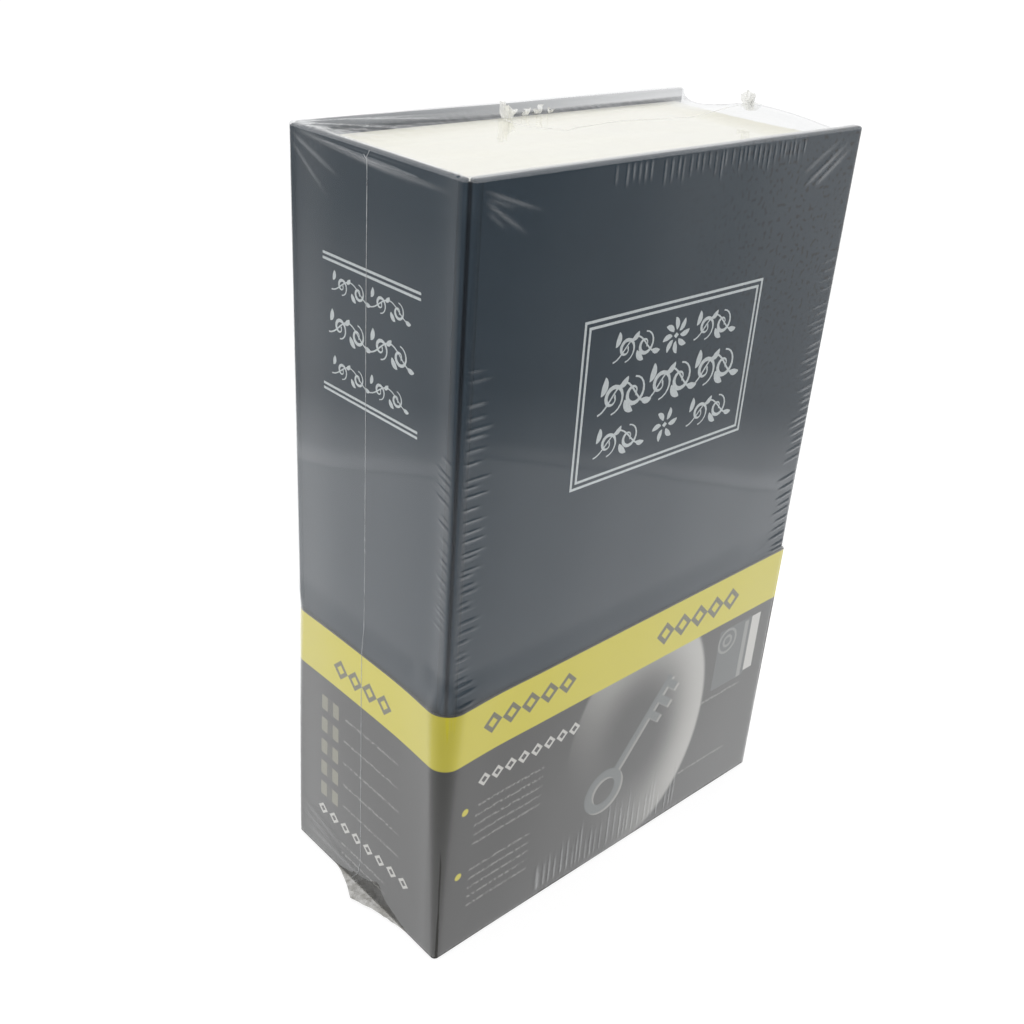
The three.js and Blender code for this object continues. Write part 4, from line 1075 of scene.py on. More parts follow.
# %% The printed card, one layer of marks over another
def with_oval_and_key(card, u, z, grey):
    """A pale oval glow on the front, brightest at its upper right, with a key over it."""
    across, up = (u - OVAL_MIDDLE[0]) / OVAL_HALF[0], (z - OVAL_MIDDLE[1]) / OVAL_HALF[1]
    oval = (across.math("POWER", 2) + up.math("POWER", 2)).math("SQRT")
    right, above = (u - GLOW_FROM[0]) / GLOW_SPREAD[0], (z - GLOW_FROM[1]) / GLOW_SPREAD[1]
    glow = (1 - oval.smooth(0.95, 1.01)) * oval.smooth(0.25, 0.98) * (right + above).smooth(0.1, 0.95)
    grey = card.mix(glow * GLOW_STRENGTH, grey, CARD_PALE)
    grey = card.mix((1 - oval.smooth(0.1, 0.75)) * OVAL_CORE_STRENGTH, grey, CARD_DEEP_AND_FOLD_SHADE)
    front = u.math("GREATER_THAN", 0)
    halo = key_mark(u - HALO_SHIFT, z + HALO_SHIFT)
    grey = card.mix(halo * HALO_STRENGTH * front, grey, CARD_PALE)
    return card.mix(key_mark(u, z) * KEY_STRENGTH * front, grey, CARD_PANEL)


def with_pale_marks(card, u, z, place, grey):
    """A panel, bars and rings at the right, rows of lozenges, and faint ruled lines."""
    grey = card.mix(box_mark(u, z, *PANEL) * PANEL_STRENGTH, grey, CARD_PANEL)
    pale = [box_mark(u, z, middle, half) * strength for middle, half, strength in PALE_BARS]
    pale += [ring_mark(u, z, RING_MIDDLE, radius, RING_HALF) * RING_STRENGTH for radius in RING_RADII]
    pale += [lozenges(u, z, *row) for row in PALE_CHAINS]
    faint = most([ruled_lines(card, u, z, place, *group) for group in FAINT_LINES])
    return card.mix(most([*pale, faint * FAINT_STRENGTH]), grey, CARD_PALE)


def with_dots_and_chips(card, u, z, grey):
    """Yellow dots before the lines on the front, and small plain chips on the spine."""
    grey = card.mix(most([dot_mark(u, z, middle, DOT_RADIUS) for middle in DOTS]), grey, CARD_YELLOW)
    chip = u.near(CHIP_AT, CHIP_HALF[0], PRINT_SOFT)
    chip = chip * repeated(z, CHIP_LOW, CHIP_PITCH).near(0, CHIP_HALF[1], PRINT_SOFT)
    chip = chip * z.near(*CHIP_ROWS, END_SOFT)
    grey = card.mix(chip * CHIP_STRENGTH, grey, CARD_CHIP)
    core = chip * u.near(CHIP_AT, CHIP_CORE, PRINT_SOFT) * CHIP_CORE_STRENGTH
    return card.mix(core, grey, CARD_DEEP_AND_FOLD_SHADE)


def printed_card():
    card = Finish("printed_card", CARD_GREY)
    u, v, _ = card.axes(card.node("UVMap", {"uv_map": "flat_card"}))
    u = u * MAP_LENGTH - MAP_LENGTH / 2
    z = v * SLEEVE_HIGH.z
    place = card.node("CombineXYZ", inputs={0: u, 1: z})
    fibre = card.noise(place, CARD_FIBRE_SIZE, 4, 0.7)
    cloud = card.noise(place, CARD_CLOUD_SIZE, 2)
    lighter = (z / BAND_LOW).clamped() * 0.45 + (u / LIGHTER_OVER).clamped() * 0.4 + cloud * 0.3
    grey = card.mix(lighter.clamped(), CARD_DEEP_AND_FOLD_SHADE, CARD_GREY)
    grey = with_oval_and_key(card, u, z, grey)
    grey = with_pale_marks(card, u, z, place, grey)
    grey = with_dots_and_chips(card, u, z, grey)
    yellow = card.mix(fibre * 0.3, CARD_YELLOW, CARD_YELLOW_DEEP)
    ink = most([lozenges(u, z, *row) for row in BAND_CHAINS])
    yellow = card.mix(ink * INK_STRENGTH, yellow, CARD_INK)
    band = z.near((BAND_LOW + BAND_HIGH) / 2, (BAND_HIGH - BAND_LOW) / 2, BAND_SOFT)
    colour = card.mix(band, grey, yellow)
    # Painted shade: the card is darkened along the bend at the front corner.
    fold_shade = (1 - u.math("ABSOLUTE").smooth(*FOLD_SHADE_SPAN)) * FOLD_SHADE_STRENGTH
    return card.surface(
        Base_Color=card.mix(fold_shade, colour, CARD_DEEP_AND_FOLD_SHADE),
        Roughness=fibre * 0.15 + 0.36,
        Specular_IOR_Level=0.3,
        Normal=card.bump(fibre * 0.5 + cloud * 0.5, CARD_RELIEF),
    )


PRINTED_CARD = printed_card()
print("printed card:", len(PRINTED_CARD.node_tree.nodes), "nodes")

# %% [markdown]
# ## The sleeve's three parts
# The front part rides on the cover and the rest on the case. The bend between them is a third
# part, which rides on neither body.

# %% Bend the sleeve's three parts
FOLD_SPAN = 12.5
CARD_SHARP_DEG = 50


def risen_share(from_corner):
    """How much of the upper edge's rise is reached that far from the front corner, in millimetres."""
    return np.clip((from_corner - RISE_FROM) / RISE_OVER, 0, 1)


def sleeve_part(name, first, last, body, node):
    """The strip between two columns of the path, as a bent sheet of card."""
    columns = last - first
    bm = bmesh.new()
    layer = bm.loops.layers.uv.new("flat_card")
    bmesh.ops.create_grid(bm, x_segments=columns, y_segments=SLEEVE_ROWS, size=0.5)
    for face in bm.faces:
        for loop in face.loops:
            column = first + round((loop.vert.co.x + 0.5) * columns)
            flat = CORNER_AT - TOP_PATH[column, 0]
            loop[layer].uv = (flat / MAP_LENGTH + 0.5, loop.vert.co.y + 0.5)
    for vert in bm.verts:
        column = first + round((vert.co.x + 0.5) * columns)
        row = round((vert.co.y + 0.5) * SLEEVE_ROWS)
        _, x, y, out_x, out_y = SLEEVE_PATHS[row][column]
        z = SLEEVE_HIGH.z * row / SLEEVE_ROWS
        off = float(stand_off(x, y, z))
        risen = SLEEVE_RISE * float(risen_share(CORNER_AT - TOP_PATH[column, 0]))
        vert.co = (x + out_x * off, y + out_y * off, z + risen * row / SLEEVE_ROWS)
    made = piece(name, bm, PRINTED_CARD, body, [node], CARD_SHARP_DEG, outwards=False)
    thick = made.modifiers.new("card", "SOLIDIFY")
    thick.thickness = CARD * MM
    thick.offset = 0
    rim = made.modifiers.new("sharp rim", "EDGE_SPLIT")
    rim.split_angle = math.radians(CARD_SHARP_DEG)
    return made


FOLD_FIRST = int(np.searchsorted(TOP_PATH[:, 0], CORNER_AT - FOLD_SPAN))
FOLD_LAST = int(np.searchsorted(TOP_PATH[:, 0], CORNER_AT + FOLD_SPAN))
sleeve_part("card_sleeve_front", 0, FOLD_FIRST, "cover", "sleeve_front")
fold = sleeve_part("card_sleeve_fold", FOLD_FIRST, FOLD_LAST, None, "sleeve_fold")
sleeve_part("card_sleeve_body", FOLD_LAST, len(TOP_PATH) - 1, "case", "sleeve_body")
FOLD_EDGE_Y, FOLD_EDGE_X = float(TOP_PATH[FOLD_LAST, 2]), float(TOP_PATH[FOLD_FIRST, 1])
TURN_REACH, TURN_OUT = 3.5, 1.3
TURN_START = Vector((BOOK_LOW.x - TURN_OUT, BOOK_LOW.y + TURN_REACH, 0))
TURN_END = Vector((BOOK_LOW.x + TURN_REACH, BOOK_LOW.y - TURN_OUT, 0))
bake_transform(fold)
print("sleeve parts bent, the fold turns over", round((TURN_END - TURN_START).length, 1), "mm")

# %% [markdown]
# ## The shrink film
# Clear film is welded round the book and shrunk by heat, so it is tight over the boards and draws
# in between them at the head, the fore-edge and the tail. Cloth simulation could do that, but the
# photograph's short creases all lie along the boards' edges, and a formula can put them there. A
# cube is divided into small squares, and its vertices are carried to their places: rounded corners
# first, then the drawn-in sides, then the creases. Rows of squares crowd where the film has ticks
# or bends, and lie further apart elsewhere.

# %% Film sizes
FILM_GAP = 0.12
FILM_ROUND = 0.7
FILM_CELLS = (256, 98, 350)
CROWDED_ROWS = ([(35, 95)], [(0, 7), (48, 55)], [(0, 3), (71, 152), (166, 180)])
CROWDING, CROWD_RAMP, CROWD_SAMPLES = 2.4, 3, 1500
FILM_OVER_SLEEVE = SLEEVE_IN + CARD
FILM_TENT, TENT_LAP, CARD_EASE = 9.0, 0.4, 0.15
ACROSS_GROOVE_HIGH, ACROSS_GROOVE_LOW, GROOVE_WIDENS = 1.2, 1.0, (95, 170)
GROOVE_SOFT = 0.3
RISE_ROUND = 12
ON_BEND, LEAST_SIDE, TINY = 0.9, 1e-6, 1e-9
DRAW_REACH, BACK_REACH, CORNER_REACH = 1.7, 3.6, 5.0
CORNER_SPREAD = 26
PEAK_AT, PEAK_BEHIND, PEAK_BEFORE = 0.0, 12, 26
PEAK_HEAD, PEAK_FORE_EDGE = (38, 56), (74, 90)
CLEAR_OF_PAGES = 0.15
HEAD_DRAW = BOOK_HIGH.z - BLOCK_HIGH.z - CLEAR_OF_PAGES
FORE_DRAW = BOOK_HIGH.x - BLOCK_HIGH.x - CLEAR_OF_PAGES


def smooth_step(value, low, high):
    """0 below low, 1 above high, smooth between, for arrays."""
    share = np.clip((value - low) / (high - low), 0, 1)
    return share * share * (3 - 2 * share)


def soft_limit(value, least, soft):
    """The value, kept from going under a least one, with a soft bend between."""
    return least + soft * np.logaddexp(0, (value - least) / soft)


def film_cage():
    """A unit cube divided into rows of squares along each axis, as a mesh."""
    bm = bmesh.new()
    bmesh.ops.create_cube(bm, size=1)
    for axis, cells in enumerate(FILM_CELLS):
        along = [e for e in bm.edges if abs(e.verts[0].co[axis] - e.verts[1].co[axis]) > 0.5]
        bmesh.ops.subdivide_edges(bm, edges=along, cuts=cells - 1, use_grid_fill=True)
    mesh = bpy.data.meshes.new("film_cage")
    bm.to_mesh(mesh)
    bm.free()
    return mesh


def crowd(share, length, zones):
    """Moves evenly spaced rows, as shares of a length in millimetres, so that they crowd in some zones."""
    at = np.linspace(0, length, CROWD_SAMPLES)
    weight = np.ones_like(at)
    for start, end in zones:
        inside = smooth_step(at, start - CROWD_RAMP, start) * (1 - smooth_step(at, end, end + CROWD_RAMP))
        weight += (CROWDING - 1) * inside
    run = np.cumsum(weight) - weight[0]
    return np.interp(share, run / run[-1], at / length)


cage = film_cage()
unit = np.zeros(len(cage.vertices) * 3)
cage.vertices.foreach_get("co", unit)
unit = unit.reshape(-1, 3)
index = np.rint((unit + 0.5) * FILM_CELLS).astype(int)
columns, rows = index[:, 0], index[:, 2]
on_front, on_back = index[:, 1] == 0, index[:, 1] == FILM_CELLS[1]
on_spine, on_fore = columns == 0, columns == FILM_CELLS[0]
on_tail, on_head = rows == 0, rows == FILM_CELLS[2]
for axis, zones in enumerate(CROWDED_ROWS):
    unit[:, axis] = crowd(unit[:, axis] + 0.5, (BOOK_HIGH - BOOK_LOW)[axis], zones) - 0.5
print("film cage:", len(cage.polygons), "squares")

# %% Round the film over the boards and the sleeve
FILM_LOW, FILM_HIGH = np.array(BOOK_LOW) - FILM_GAP, np.array(BOOK_HIGH) + FILM_GAP


def film_on_boards(unit):
    """Places and outward directions of the film on a box with round edges."""
    place = FILM_LOW + (unit + 0.5) * (FILM_HIGH - FILM_LOW)
    core = np.clip(place, FILM_LOW + FILM_ROUND, FILM_HIGH - FILM_ROUND)
    out = place - core
    out /= np.linalg.norm(out, axis=1)[:, None]
    return core + FILM_ROUND * out, out


def on_sleeve(place):
    """1 where the film lies on the sleeve, falling to 0 over the tent above its upper edge."""
    risen = SLEEVE_RISE * risen_share(place[:, 0] - BOOK_LOW.x)
    risen = risen * smooth_step(-place[:, 1], -RISE_ROUND, RISE_ROUND)
    top = SLEEVE_HIGH.z + risen
    return 1 - smooth_step(place[:, 2], top - TENT_LAP, top + FILM_TENT)


def slope_over_grooves(place, out, over):
    """Over each groove the film takes a narrow slope, narrower where the sleeve holds it out."""
    widened = smooth_step(place[:, 2], *GROOVE_WIDENS)
    across = ACROSS_GROOVE_LOW + (ACROSS_GROOVE_HIGH - ACROSS_GROOVE_LOW) * widened
    for y_side, y_face in ((-1, FILM_LOW[1]), (1, FILM_HIGH[1])):
        from_corner = place[:, 0] - FILM_LOW[0] + y_side * (y_face - place[:, 1])
        inwards = (soft_limit(from_corner, across, GROOVE_SOFT) - from_corner) / 2 * (1 - over)
        place[:, 0] += inwards
        place[:, 1] -= y_side * inwards
        bevelled = np.clip(inwards / GROOVE_SOFT, 0, 1)[:, None]
        out[:, :2] = (1 - bevelled) * out[:, :2] + bevelled * np.array((-1, y_side)) / math.sqrt(2)


def bend_over_sleeve(place, out, over):
    """On the sleeve the film stands further out and takes the card's wide bend."""
    grow = over * FILM_OVER_SLEEVE
    place[:, :2] += out[:, :2] * grow[:, None]
    bend = FILM_ROUND + over * (spine_bend(place[:, 2]) + CARD + CARD_EASE - FILM_ROUND)
    middle_x = np.maximum(place[:, 0], FILM_LOW[0] - grow + bend)
    middle_y = np.clip(place[:, 1], FILM_LOW[1] - grow + bend, FILM_HIGH[1] + grow - bend)
    side = np.stack([place[:, 0] - middle_x, place[:, 1] - middle_y], 1)
    reach = np.linalg.norm(side, axis=1)
    outside = reach > bend
    share = np.where(outside, bend / np.maximum(reach, TINY), 1)
    place[:, 0] = np.where(outside, middle_x + side[:, 0] * share, place[:, 0])
    place[:, 1] = np.where(outside, middle_y + side[:, 1] * share, place[:, 1])
    flat = side / np.maximum(reach, TINY)[:, None]
    corner = (reach > ON_BEND * bend) & (np.abs(side[:, 0]) > LEAST_SIDE)
    out[:, :2] = np.where(corner[:, None] & (over > 0)[:, None], flat, out[:, :2])
    off = over * stand_off(place[:, 0], place[:, 1], place[:, 2])
    place[:, :2] += out[:, :2] * off[:, None]


def drawn_in(place):
    """How far the film has left the boards and the spine, from 0 on them to 1 between them."""
    x, y = place[:, 0], place[:, 1]
    corner = np.exp(-(((x - SPINE_HIGH.x) / CORNER_SPREAD) ** 2)) * smooth_step(y, 4, BACK_LOW.y)
    from_front = 1 - np.exp(-np.maximum(y - FRONT_HIGH.y, 0) / DRAW_REACH)
    from_back = 1 - np.exp(-np.maximum(BACK_LOW.y - y, 0) / (BACK_REACH + corner * CORNER_REACH))
    from_spine = 1 - np.exp(-np.maximum(x - SPINE_HIGH.x, 0) / (DRAW_REACH + corner * CORNER_REACH))
    return from_front * from_back, from_spine


def seam_peak(y):
    """How much the stiff seam holds the film out at the fore-edge end of the head, along Y."""
    return np.exp(-(((y - PEAK_AT) / np.where(y > PEAK_AT, PEAK_BEHIND, PEAK_BEFORE)) ** 2))


film_place, film_out = film_on_boards(unit)
over = on_sleeve(film_place)
slope_over_grooves(film_place, film_out, over)
bend_over_sleeve(film_place, film_out, over)
x, y, z = film_place.T
print("film reaches", np.round(film_place.min(0), 1), np.round(film_place.max(0), 1))

# %% [markdown]
# ## Creases and waves
# Heat leaves rows of short ticks square to the boards' edges, long creases from the corners, and a
# slow waviness that only shows in reflections. Each tick is one row of squares raised by one or two
# tenths of a millimetre. Along a tick's crest the film is stretched white, and a painted highlight
# lies there too; both are written down as haze beside the height. Beside the fore-edge and on the
# spine the rows are slanted a little, so that the ticks are too.

# %% The height and length of each tick
TICK_EVERY, HEAD_TICK_EVERY = 2.1, 1.7
TICK_LENGTHS, TICK_GAPS = (0.6, 1.2), (0.65, 1.35)
# Haze on a crest: partly stretched white film, partly a painted highlight.
TICK_HAZE_AND_HIGHLIGHT, WHITE_FROM, WHITEST = 0.17, 0.15, 0.2
TICK_SEED = 5


def tick_heights(places, span, rng, chance, tall, every=TICK_EVERY):
    """A height and a length for each row of squares, with a tick about every few millimetres."""
    heights, lengths = np.zeros(len(places)), np.ones(len(places))
    at, end = span
    while at < end:
        row = int(np.argmin(np.abs(places - at)))
        if rng.random() < chance(at):
            length = rng.uniform(*TICK_LENGTHS)
            heights[row] = rng.uniform(*tall)
            lengths[row - 1 : row + 2] = length
        at += every * rng.uniform(*TICK_GAPS)
    return heights, lengths


def tick_rows(rows, heights, lengths, distance, reach):
    """The height at each vertex of ticks that start at an edge and die away inwards."""
    share = distance / (reach * lengths[rows])
    raised = heights[rows] * smooth_step(share, 0.0, 0.18) * (1 - smooth_step(share, 0.45, 1.0))
    return np.where(distance > 0, raised, 0)


def row_places(axis):
    """Where each row of squares lies along an axis of the book, in millimetres."""
    count = FILM_CELLS[axis]
    length = (BOOK_HIGH - BOOK_LOW)[axis]
    return BOOK_LOW[axis] + length * crowd(np.arange(count + 1) / count, length, CROWDED_ROWS[axis])


# %% Rows of short ticks on the boards and the spine
# Beside a board's two upright edges: distance from the edge, reach, slant, at the fore-edge or not, span.
UPRIGHT_TICKS = (
    (1.7, 6.4, 0.0, False, (71.5, 146)),
    (0.5, 7.6, 0.14, True, (73, 153)),
)
UPRIGHT_TALL, HEAD_TALL, TAIL_TALL, SPINE_TALL = (0.11, 0.17), (0.08, 0.15), (0.10, 0.20), (0.06, 0.14)
HEAD_SPAN, HEAD_INSET, HEAD_REACH, HEAD_THIN_BEFORE = (-22, 37), 0.8, 5.7, -4
TAIL_SPAN, TAIL_INSET, TAIL_REACH = (-26, 26), 1.5, 15
SPINE_SPAN, SPINE_INSET, SPINE_REACH, SPINE_SLANT = (90, 127), 1.2, 4.6, 0.35
SLANTED_FROM, SLANTED_TO, SLANT_FADES, SPINE_SLANT_FADES = (71, 77), (152, 164), (8, 20), (4, 10)
# Upright ticks are tallest low down, and each loss comes off between its two heights.
TALL_BELOW, TALL_LOSSES, WHITENED_FROM = 1.6, ((0.7, 95, 125), (0.5, 125, 146)), (92, 118)
rng = random.Random(TICK_SEED)
height, haze_and_highlight, slide = np.zeros(len(unit)), np.zeros(len(unit)), np.zeros(len(unit))


def raise_whiten_and_highlight(face, lifted, share):
    """Adds a raised pattern to one side of the film, with its crests stretched white and a painted
    highlight.
    """
    global height, haze_and_highlight
    lifted = np.where(face, lifted, 0)
    height = height + lifted
    haze_and_highlight = haze_and_highlight + np.clip(lifted, 0, WHITEST) / WHITE_FROM * TICK_HAZE_AND_HIGHLIGHT * share


def head_chance(at):
    """How likely a tick is along the head: a little less so towards the spine."""
    return 0.85 if at < HEAD_THIN_BEFORE else 1.0


slanting = smooth_step(z, *SLANTED_FROM) * (1 - smooth_step(z, *SLANTED_TO))
tallness = TALL_BELOW - sum(loss * smooth_step(z, low, high) for loss, low, high in TALL_LOSSES)
for face in (on_front, on_back):
    for inset, reach, slant, at_fore_edge, span in UPRIGHT_TICKS:
        from_edge = BOOK_HIGH.x - inset - x if at_fore_edge else x - BOOK_LOW.x - inset
        heights, lengths = tick_heights(row_places(2), span, rng, lambda at: 0.97, UPRIGHT_TALL)
        ticks = tick_rows(rows, heights, lengths, from_edge, reach) * tallness
        raise_whiten_and_highlight(face, ticks, smooth_step(z, *WHITENED_FROM))
        slanted = slant * np.maximum(from_edge, 0) * (1 - smooth_step(from_edge, *SLANT_FADES))
        slide -= np.where(face, slanted, 0) * slanting
    heights, lengths = tick_heights(row_places(0), HEAD_SPAN, rng, head_chance, HEAD_TALL, HEAD_TICK_EVERY)
    from_head = BOOK_HIGH.z - HEAD_INSET - z
    raise_whiten_and_highlight(face, tick_rows(columns, heights, lengths, from_head, HEAD_REACH), 1.0)
    heights, lengths = tick_heights(row_places(0), TAIL_SPAN, rng, lambda at: 0.9, TAIL_TALL)
    from_tail = z - BOOK_LOW.z - TAIL_INSET
    raise_whiten_and_highlight(face, tick_rows(columns, heights, lengths, from_tail, TAIL_REACH), 1.1)

heights, lengths = tick_heights(row_places(2), SPINE_SPAN, rng, lambda at: 0.9, SPINE_TALL)
from_corner = y - (BOOK_LOW.y + SPINE_INSET)
raise_whiten_and_highlight(on_spine, tick_rows(rows, heights, lengths, from_corner, SPINE_REACH), 0.3)
slanted = SPINE_SLANT * np.maximum(from_corner, 0) * (1 - smooth_step(from_corner, *SPINE_SLANT_FADES))
slide += np.where(on_spine, slanted, 0) * slanting
print("ticks raise", int((height > 0.03).sum()), "vertices")

# %% Long creases
# Each crease: its start and end on a face, its height and its half width.
FRONT_CREASES = (
    ((-54.5, 178.0), (-39.0, 172.6), 0.12, 0.33),
    ((-53.8, 176.6), (-46.0, 174.0), 0.07, 0.33),
    ((-54.4, 176.4), (-43.0, 168.8), 0.12, 0.33),
    ((-53.5, 174.4), (-48.5, 170.6), 0.07, 0.33),
    ((38.0, 168.4), (54.2, 177.9), 0.20, 0.40),
    ((41.5, 167.9), (55.6, 176.6), 0.20, 0.40),
    ((36.5, 171.2), (51.0, 178.6), 0.10, 0.40),
)
SPINE_CREASES = (
    ((26.4, 179.3), (-16.0, 176.4), 0.15, 0.34),
    ((6.0, 177.9), (-25.5, 176.9), 0.15, 0.34),
    ((26.4, 179.0), (-22.0, 178.3), -0.12, 0.45),
    ((26.4, 178.8), (8.0, 172.4), 0.12, 0.36),
    ((26.4, 177.4), (12.0, 167.5), 0.09, 0.36),
)
FOOT_CREASES = (
    ((27.0, 12.6), (4.0, 7.4), 0.12, 0.7),
    ((27.0, 10.0), (7.0, 5.0), 0.10, 0.7),
    ((27.0, 5.4), (-14.0, 3.6), 0.10, 0.9),
)
HEAD_CREASES = (
    ((-57.0, 26.0), (-18.0, 25.0), 0.20, 0.35),
    ((-57.0, 25.6), (-8.0, 23.6), -0.18, 0.40),
    ((-57.0, 25.0), (-16.0, 21.4), 0.24, 0.40),
    ((-56.8, 24.4), (-24.0, 19.4), -0.22, 0.42),
    ((-56.8, 23.6), (-27.0, 17.2), 0.24, 0.42),
    ((-56.6, 22.6), (-35.0, 14.4), -0.18, 0.42),
    ((-56.6, 21.0), (-40.0, 11.0), 0.15, 0.42),
    ((46.0, -18.0), (57.0, -12.0), 0.16, 0.5),
)


def crease(across, up, start, end, tall, wide):
    """A soft ridge between two places of a face, thinning to its ends."""
    start, end = np.array(start), np.array(end)
    along = end - start
    length = np.linalg.norm(along)
    along = along / length
    from_start = np.stack([across, up], 1) - start
    share = from_start @ along / length
    aside = from_start @ np.array([-along[1], along[0]])
    window = smooth_step(share, 0, 0.25) * (1 - smooth_step(share, 0.5, 1.0))
    return tall * np.exp(-((aside / wide) ** 2)) * window


# The last number of each row: how much of a crease's height becomes haze and painted highlight.
for face, across, up, creases, white in (
    (on_front, x, z, FRONT_CREASES, 0.8),
    (on_back, x, z, FRONT_CREASES, 0.8),
    (on_spine, y, z, SPINE_CREASES, 0.8),
    (on_spine, y, z, FOOT_CREASES, 0.1),
    (on_head, x, y, HEAD_CREASES, 0.2),
):
    for start, end, tall, wide in creases:
        raise_whiten_and_highlight(face, crease(across, up, start, end, tall, wide), white)
print("with the creases, they raise", int((height > 0.03).sum()), "vertices")

# %% [markdown]
# ## Waves, wrinkles and milky places
# A tight film is never quite flat. Slow waves of a few hundredths of a millimetre bend its
# reflections, and it wrinkles across the slope where it draws in between the boards. Where it is
# gathered, or folded over an edge, it turns milky, and that goes into the haze. Last of all it is
# drawn in towards the page block, as far as the stiff seam at the fore-edge lets it.

# %% Slow waves, and wrinkles where the film draws in
# Each wave: its height, its lengths along X, Y and Z, and its start.
WAVES = (
    (0.030, 8.3, math.inf, 19.0, 1.1),
    (0.024, 5.1, 6.0, -31.0, 0.4),
    (0.018, 29.0, 7.1, 6.7, 0.0),
)
PLEAT_TALL, STREAK_TALL, FORE_PLEAT_TALL, RIPPLE_TALL, FINE_PLEATS = 0.05, 0.08, 0.11, 0.02, 0.6
CALMED, CALM_FROM = 0.7, (-48, -22)


def uneven_waves(along, rate, sway, sway_length, aslant=0):
    """A sine whose waves are short and long by turns."""
    return np.sin(along * rate + sway * np.sin(along / sway_length) + aslant)


waves = np.zeros(len(unit))
for tall, along_x, along_y, along_z, start in WAVES:
    waves += tall * np.sin(x / along_x + y / along_y + z / along_z + start)
board_draw, spine_draw = drawn_in(film_place)
between = board_draw * spine_draw
slope = 4 * board_draw * (1 - board_draw)
pleats = uneven_waves(x, 1.9, 2.2, 3.7, y * 0.5) + FINE_PLEATS * uneven_waves(x, 3.3, 1.3, 5.3, -y)
fore_pleats = uneven_waves(z, 1.7, 2.0, 4.1, y * 0.6) + FINE_PLEATS * uneven_waves(z, 3.1, 1.5, 6.3)
streaks = np.sin(y * 3.1 + 1.7 * np.sin(x / 9.0 + y)) * np.sin(y * 1.3 - x / 13.0)
ripples = streaks + np.sin(x / 2.9 + 2 * np.sin(y / 3.3))
calm = 1 - CALMED * smooth_step(x, *CALM_FROM)
wrinkled = (
    np.where(on_head | on_tail, slope * calm * (PLEAT_TALL * pleats + STREAK_TALL * streaks), 0)
    + np.where(on_fore, slope * FORE_PLEAT_TALL * fore_pleats, 0)
    + np.where(on_head, between * RIPPLE_TALL * ripples, 0)
)
print("waves reach", round(float(waves.max()), 2), "and wrinkles", round(float(wrinkled.max()), 2), "mm")

# %% Milky places
VEIL_FROM, VEIL_TO, VEIL_LEAST, VEIL_GROWTH = (-2.2, -1.4), (2.2, 3.6), 0.11, 0.42
FORE_VEIL, FORE_VEIL_WIDE = 0.22, 10
SLOPE_HAZE, BETWEEN_HAZE, RIM_HAZE, RIM_FADES = 0.03, 0.01, 0.09, 8
GROOVE_HAZE, GROOVE_HAZE_WIDE, GROOVE_HAZE_FADES = 0.035, 3.2, (110, 150)
FAR_OFF = 99
from_back = BACK_LOW.y - y
veil = smooth_step(from_back, *VEIL_FROM) * (1 - smooth_step(from_back, *VEIL_TO))
veil = veil * (VEIL_LEAST + VEIL_GROWTH * smooth_step(x, BOOK_LOW.x, BOOK_HIGH.x))
fore_veil = FORE_VEIL * between * smooth_step(x, BLOCK_HIGH.x - FORE_VEIL_WIDE, BLOCK_HIGH.x)
rim = smooth_step(film_out[:, 2], 0.2, 0.6) * (1 - between) ** RIM_FADES
haze_and_highlight += SLOPE_HAZE * slope + BETWEEN_HAZE * between + np.where(on_head, np.maximum(veil, fore_veil), 0)
haze_and_highlight += RIM_HAZE * rim
from_long_edges = np.minimum(np.abs(y - BOOK_LOW.y), np.abs(y - BOOK_HIGH.y))
groove_side = np.minimum(x - BOOK_LOW.x, FAR_OFF) + from_long_edges
above_sleeve = (1 - smooth_step(z, *GROOVE_HAZE_FADES)) * (z > SLEEVE_HIGH.z)
haze_and_highlight += GROOVE_HAZE * np.exp(-((groove_side / GROOVE_HAZE_WIDE) ** 2)) * above_sleeve
print("mean haze", round(float(np.clip(haze_and_highlight, 0, 1).mean()), 3))

# %% Draw the film in between the boards
tight_place = film_place
film_place = film_place + film_out * (height + waves + wrinkled)[:, None]
film_place[:, 2] += slide
middle_z = (BOOK_LOW.z + BOOK_HIGH.z) / 2
half_height = (BOOK_HIGH.z - BOOK_LOW.z) / 2
held = 1 - smooth_step(x, *PEAK_HEAD) * seam_peak(y)
shrunk = 1 - between * held * HEAD_DRAW / half_height
film_place[:, 2] = middle_z + (film_place[:, 2] - middle_z) * shrunk
fore_share = np.clip((film_place[:, 0] - BOOK_LOW.x) / (BOOK_HIGH.x - BOOK_LOW.x), 0, 1)
held = 1 - smooth_step(np.abs(z - middle_z), *PEAK_FORE_EDGE) * seam_peak(y)
film_place[:, 0] -= board_draw * FORE_DRAW * fore_share * held
print("film drawn in by", round(HEAD_DRAW, 2), "and", round(FORE_DRAW, 2), "mm")

# %% [markdown]
# ## What the film does to light
# A clear film lets most light through and mirrors a little, more at a grazing angle. A glass shader
# on a sheet this thin would need two faces and refraction for nothing. So the main shader is a
# white mirror whose alpha is the share of light that the film mirrors at that angle of view. The
# haze stored on the vertices adds a milky share where the film is crumpled or stretched white, and
# a painted highlight along the crests of ticks and creases.

# %% Film finishes
FILM_INDEX = 1.5
FILM_WHITE = (0.93, 0.94, 0.95)
WELD_WHITE = (0.62, 0.64, 0.65)
TUFT_WHITE = (0.93, 0.93, 0.91)
# Painted shade: the flap at the tail is grey for the shade and underside that it shows.
FLAP_SHADE_GREY = (0.36, 0.35, 0.32)
GATHER_SIZE, GATHER_RELIEF = 1.4, 0.15


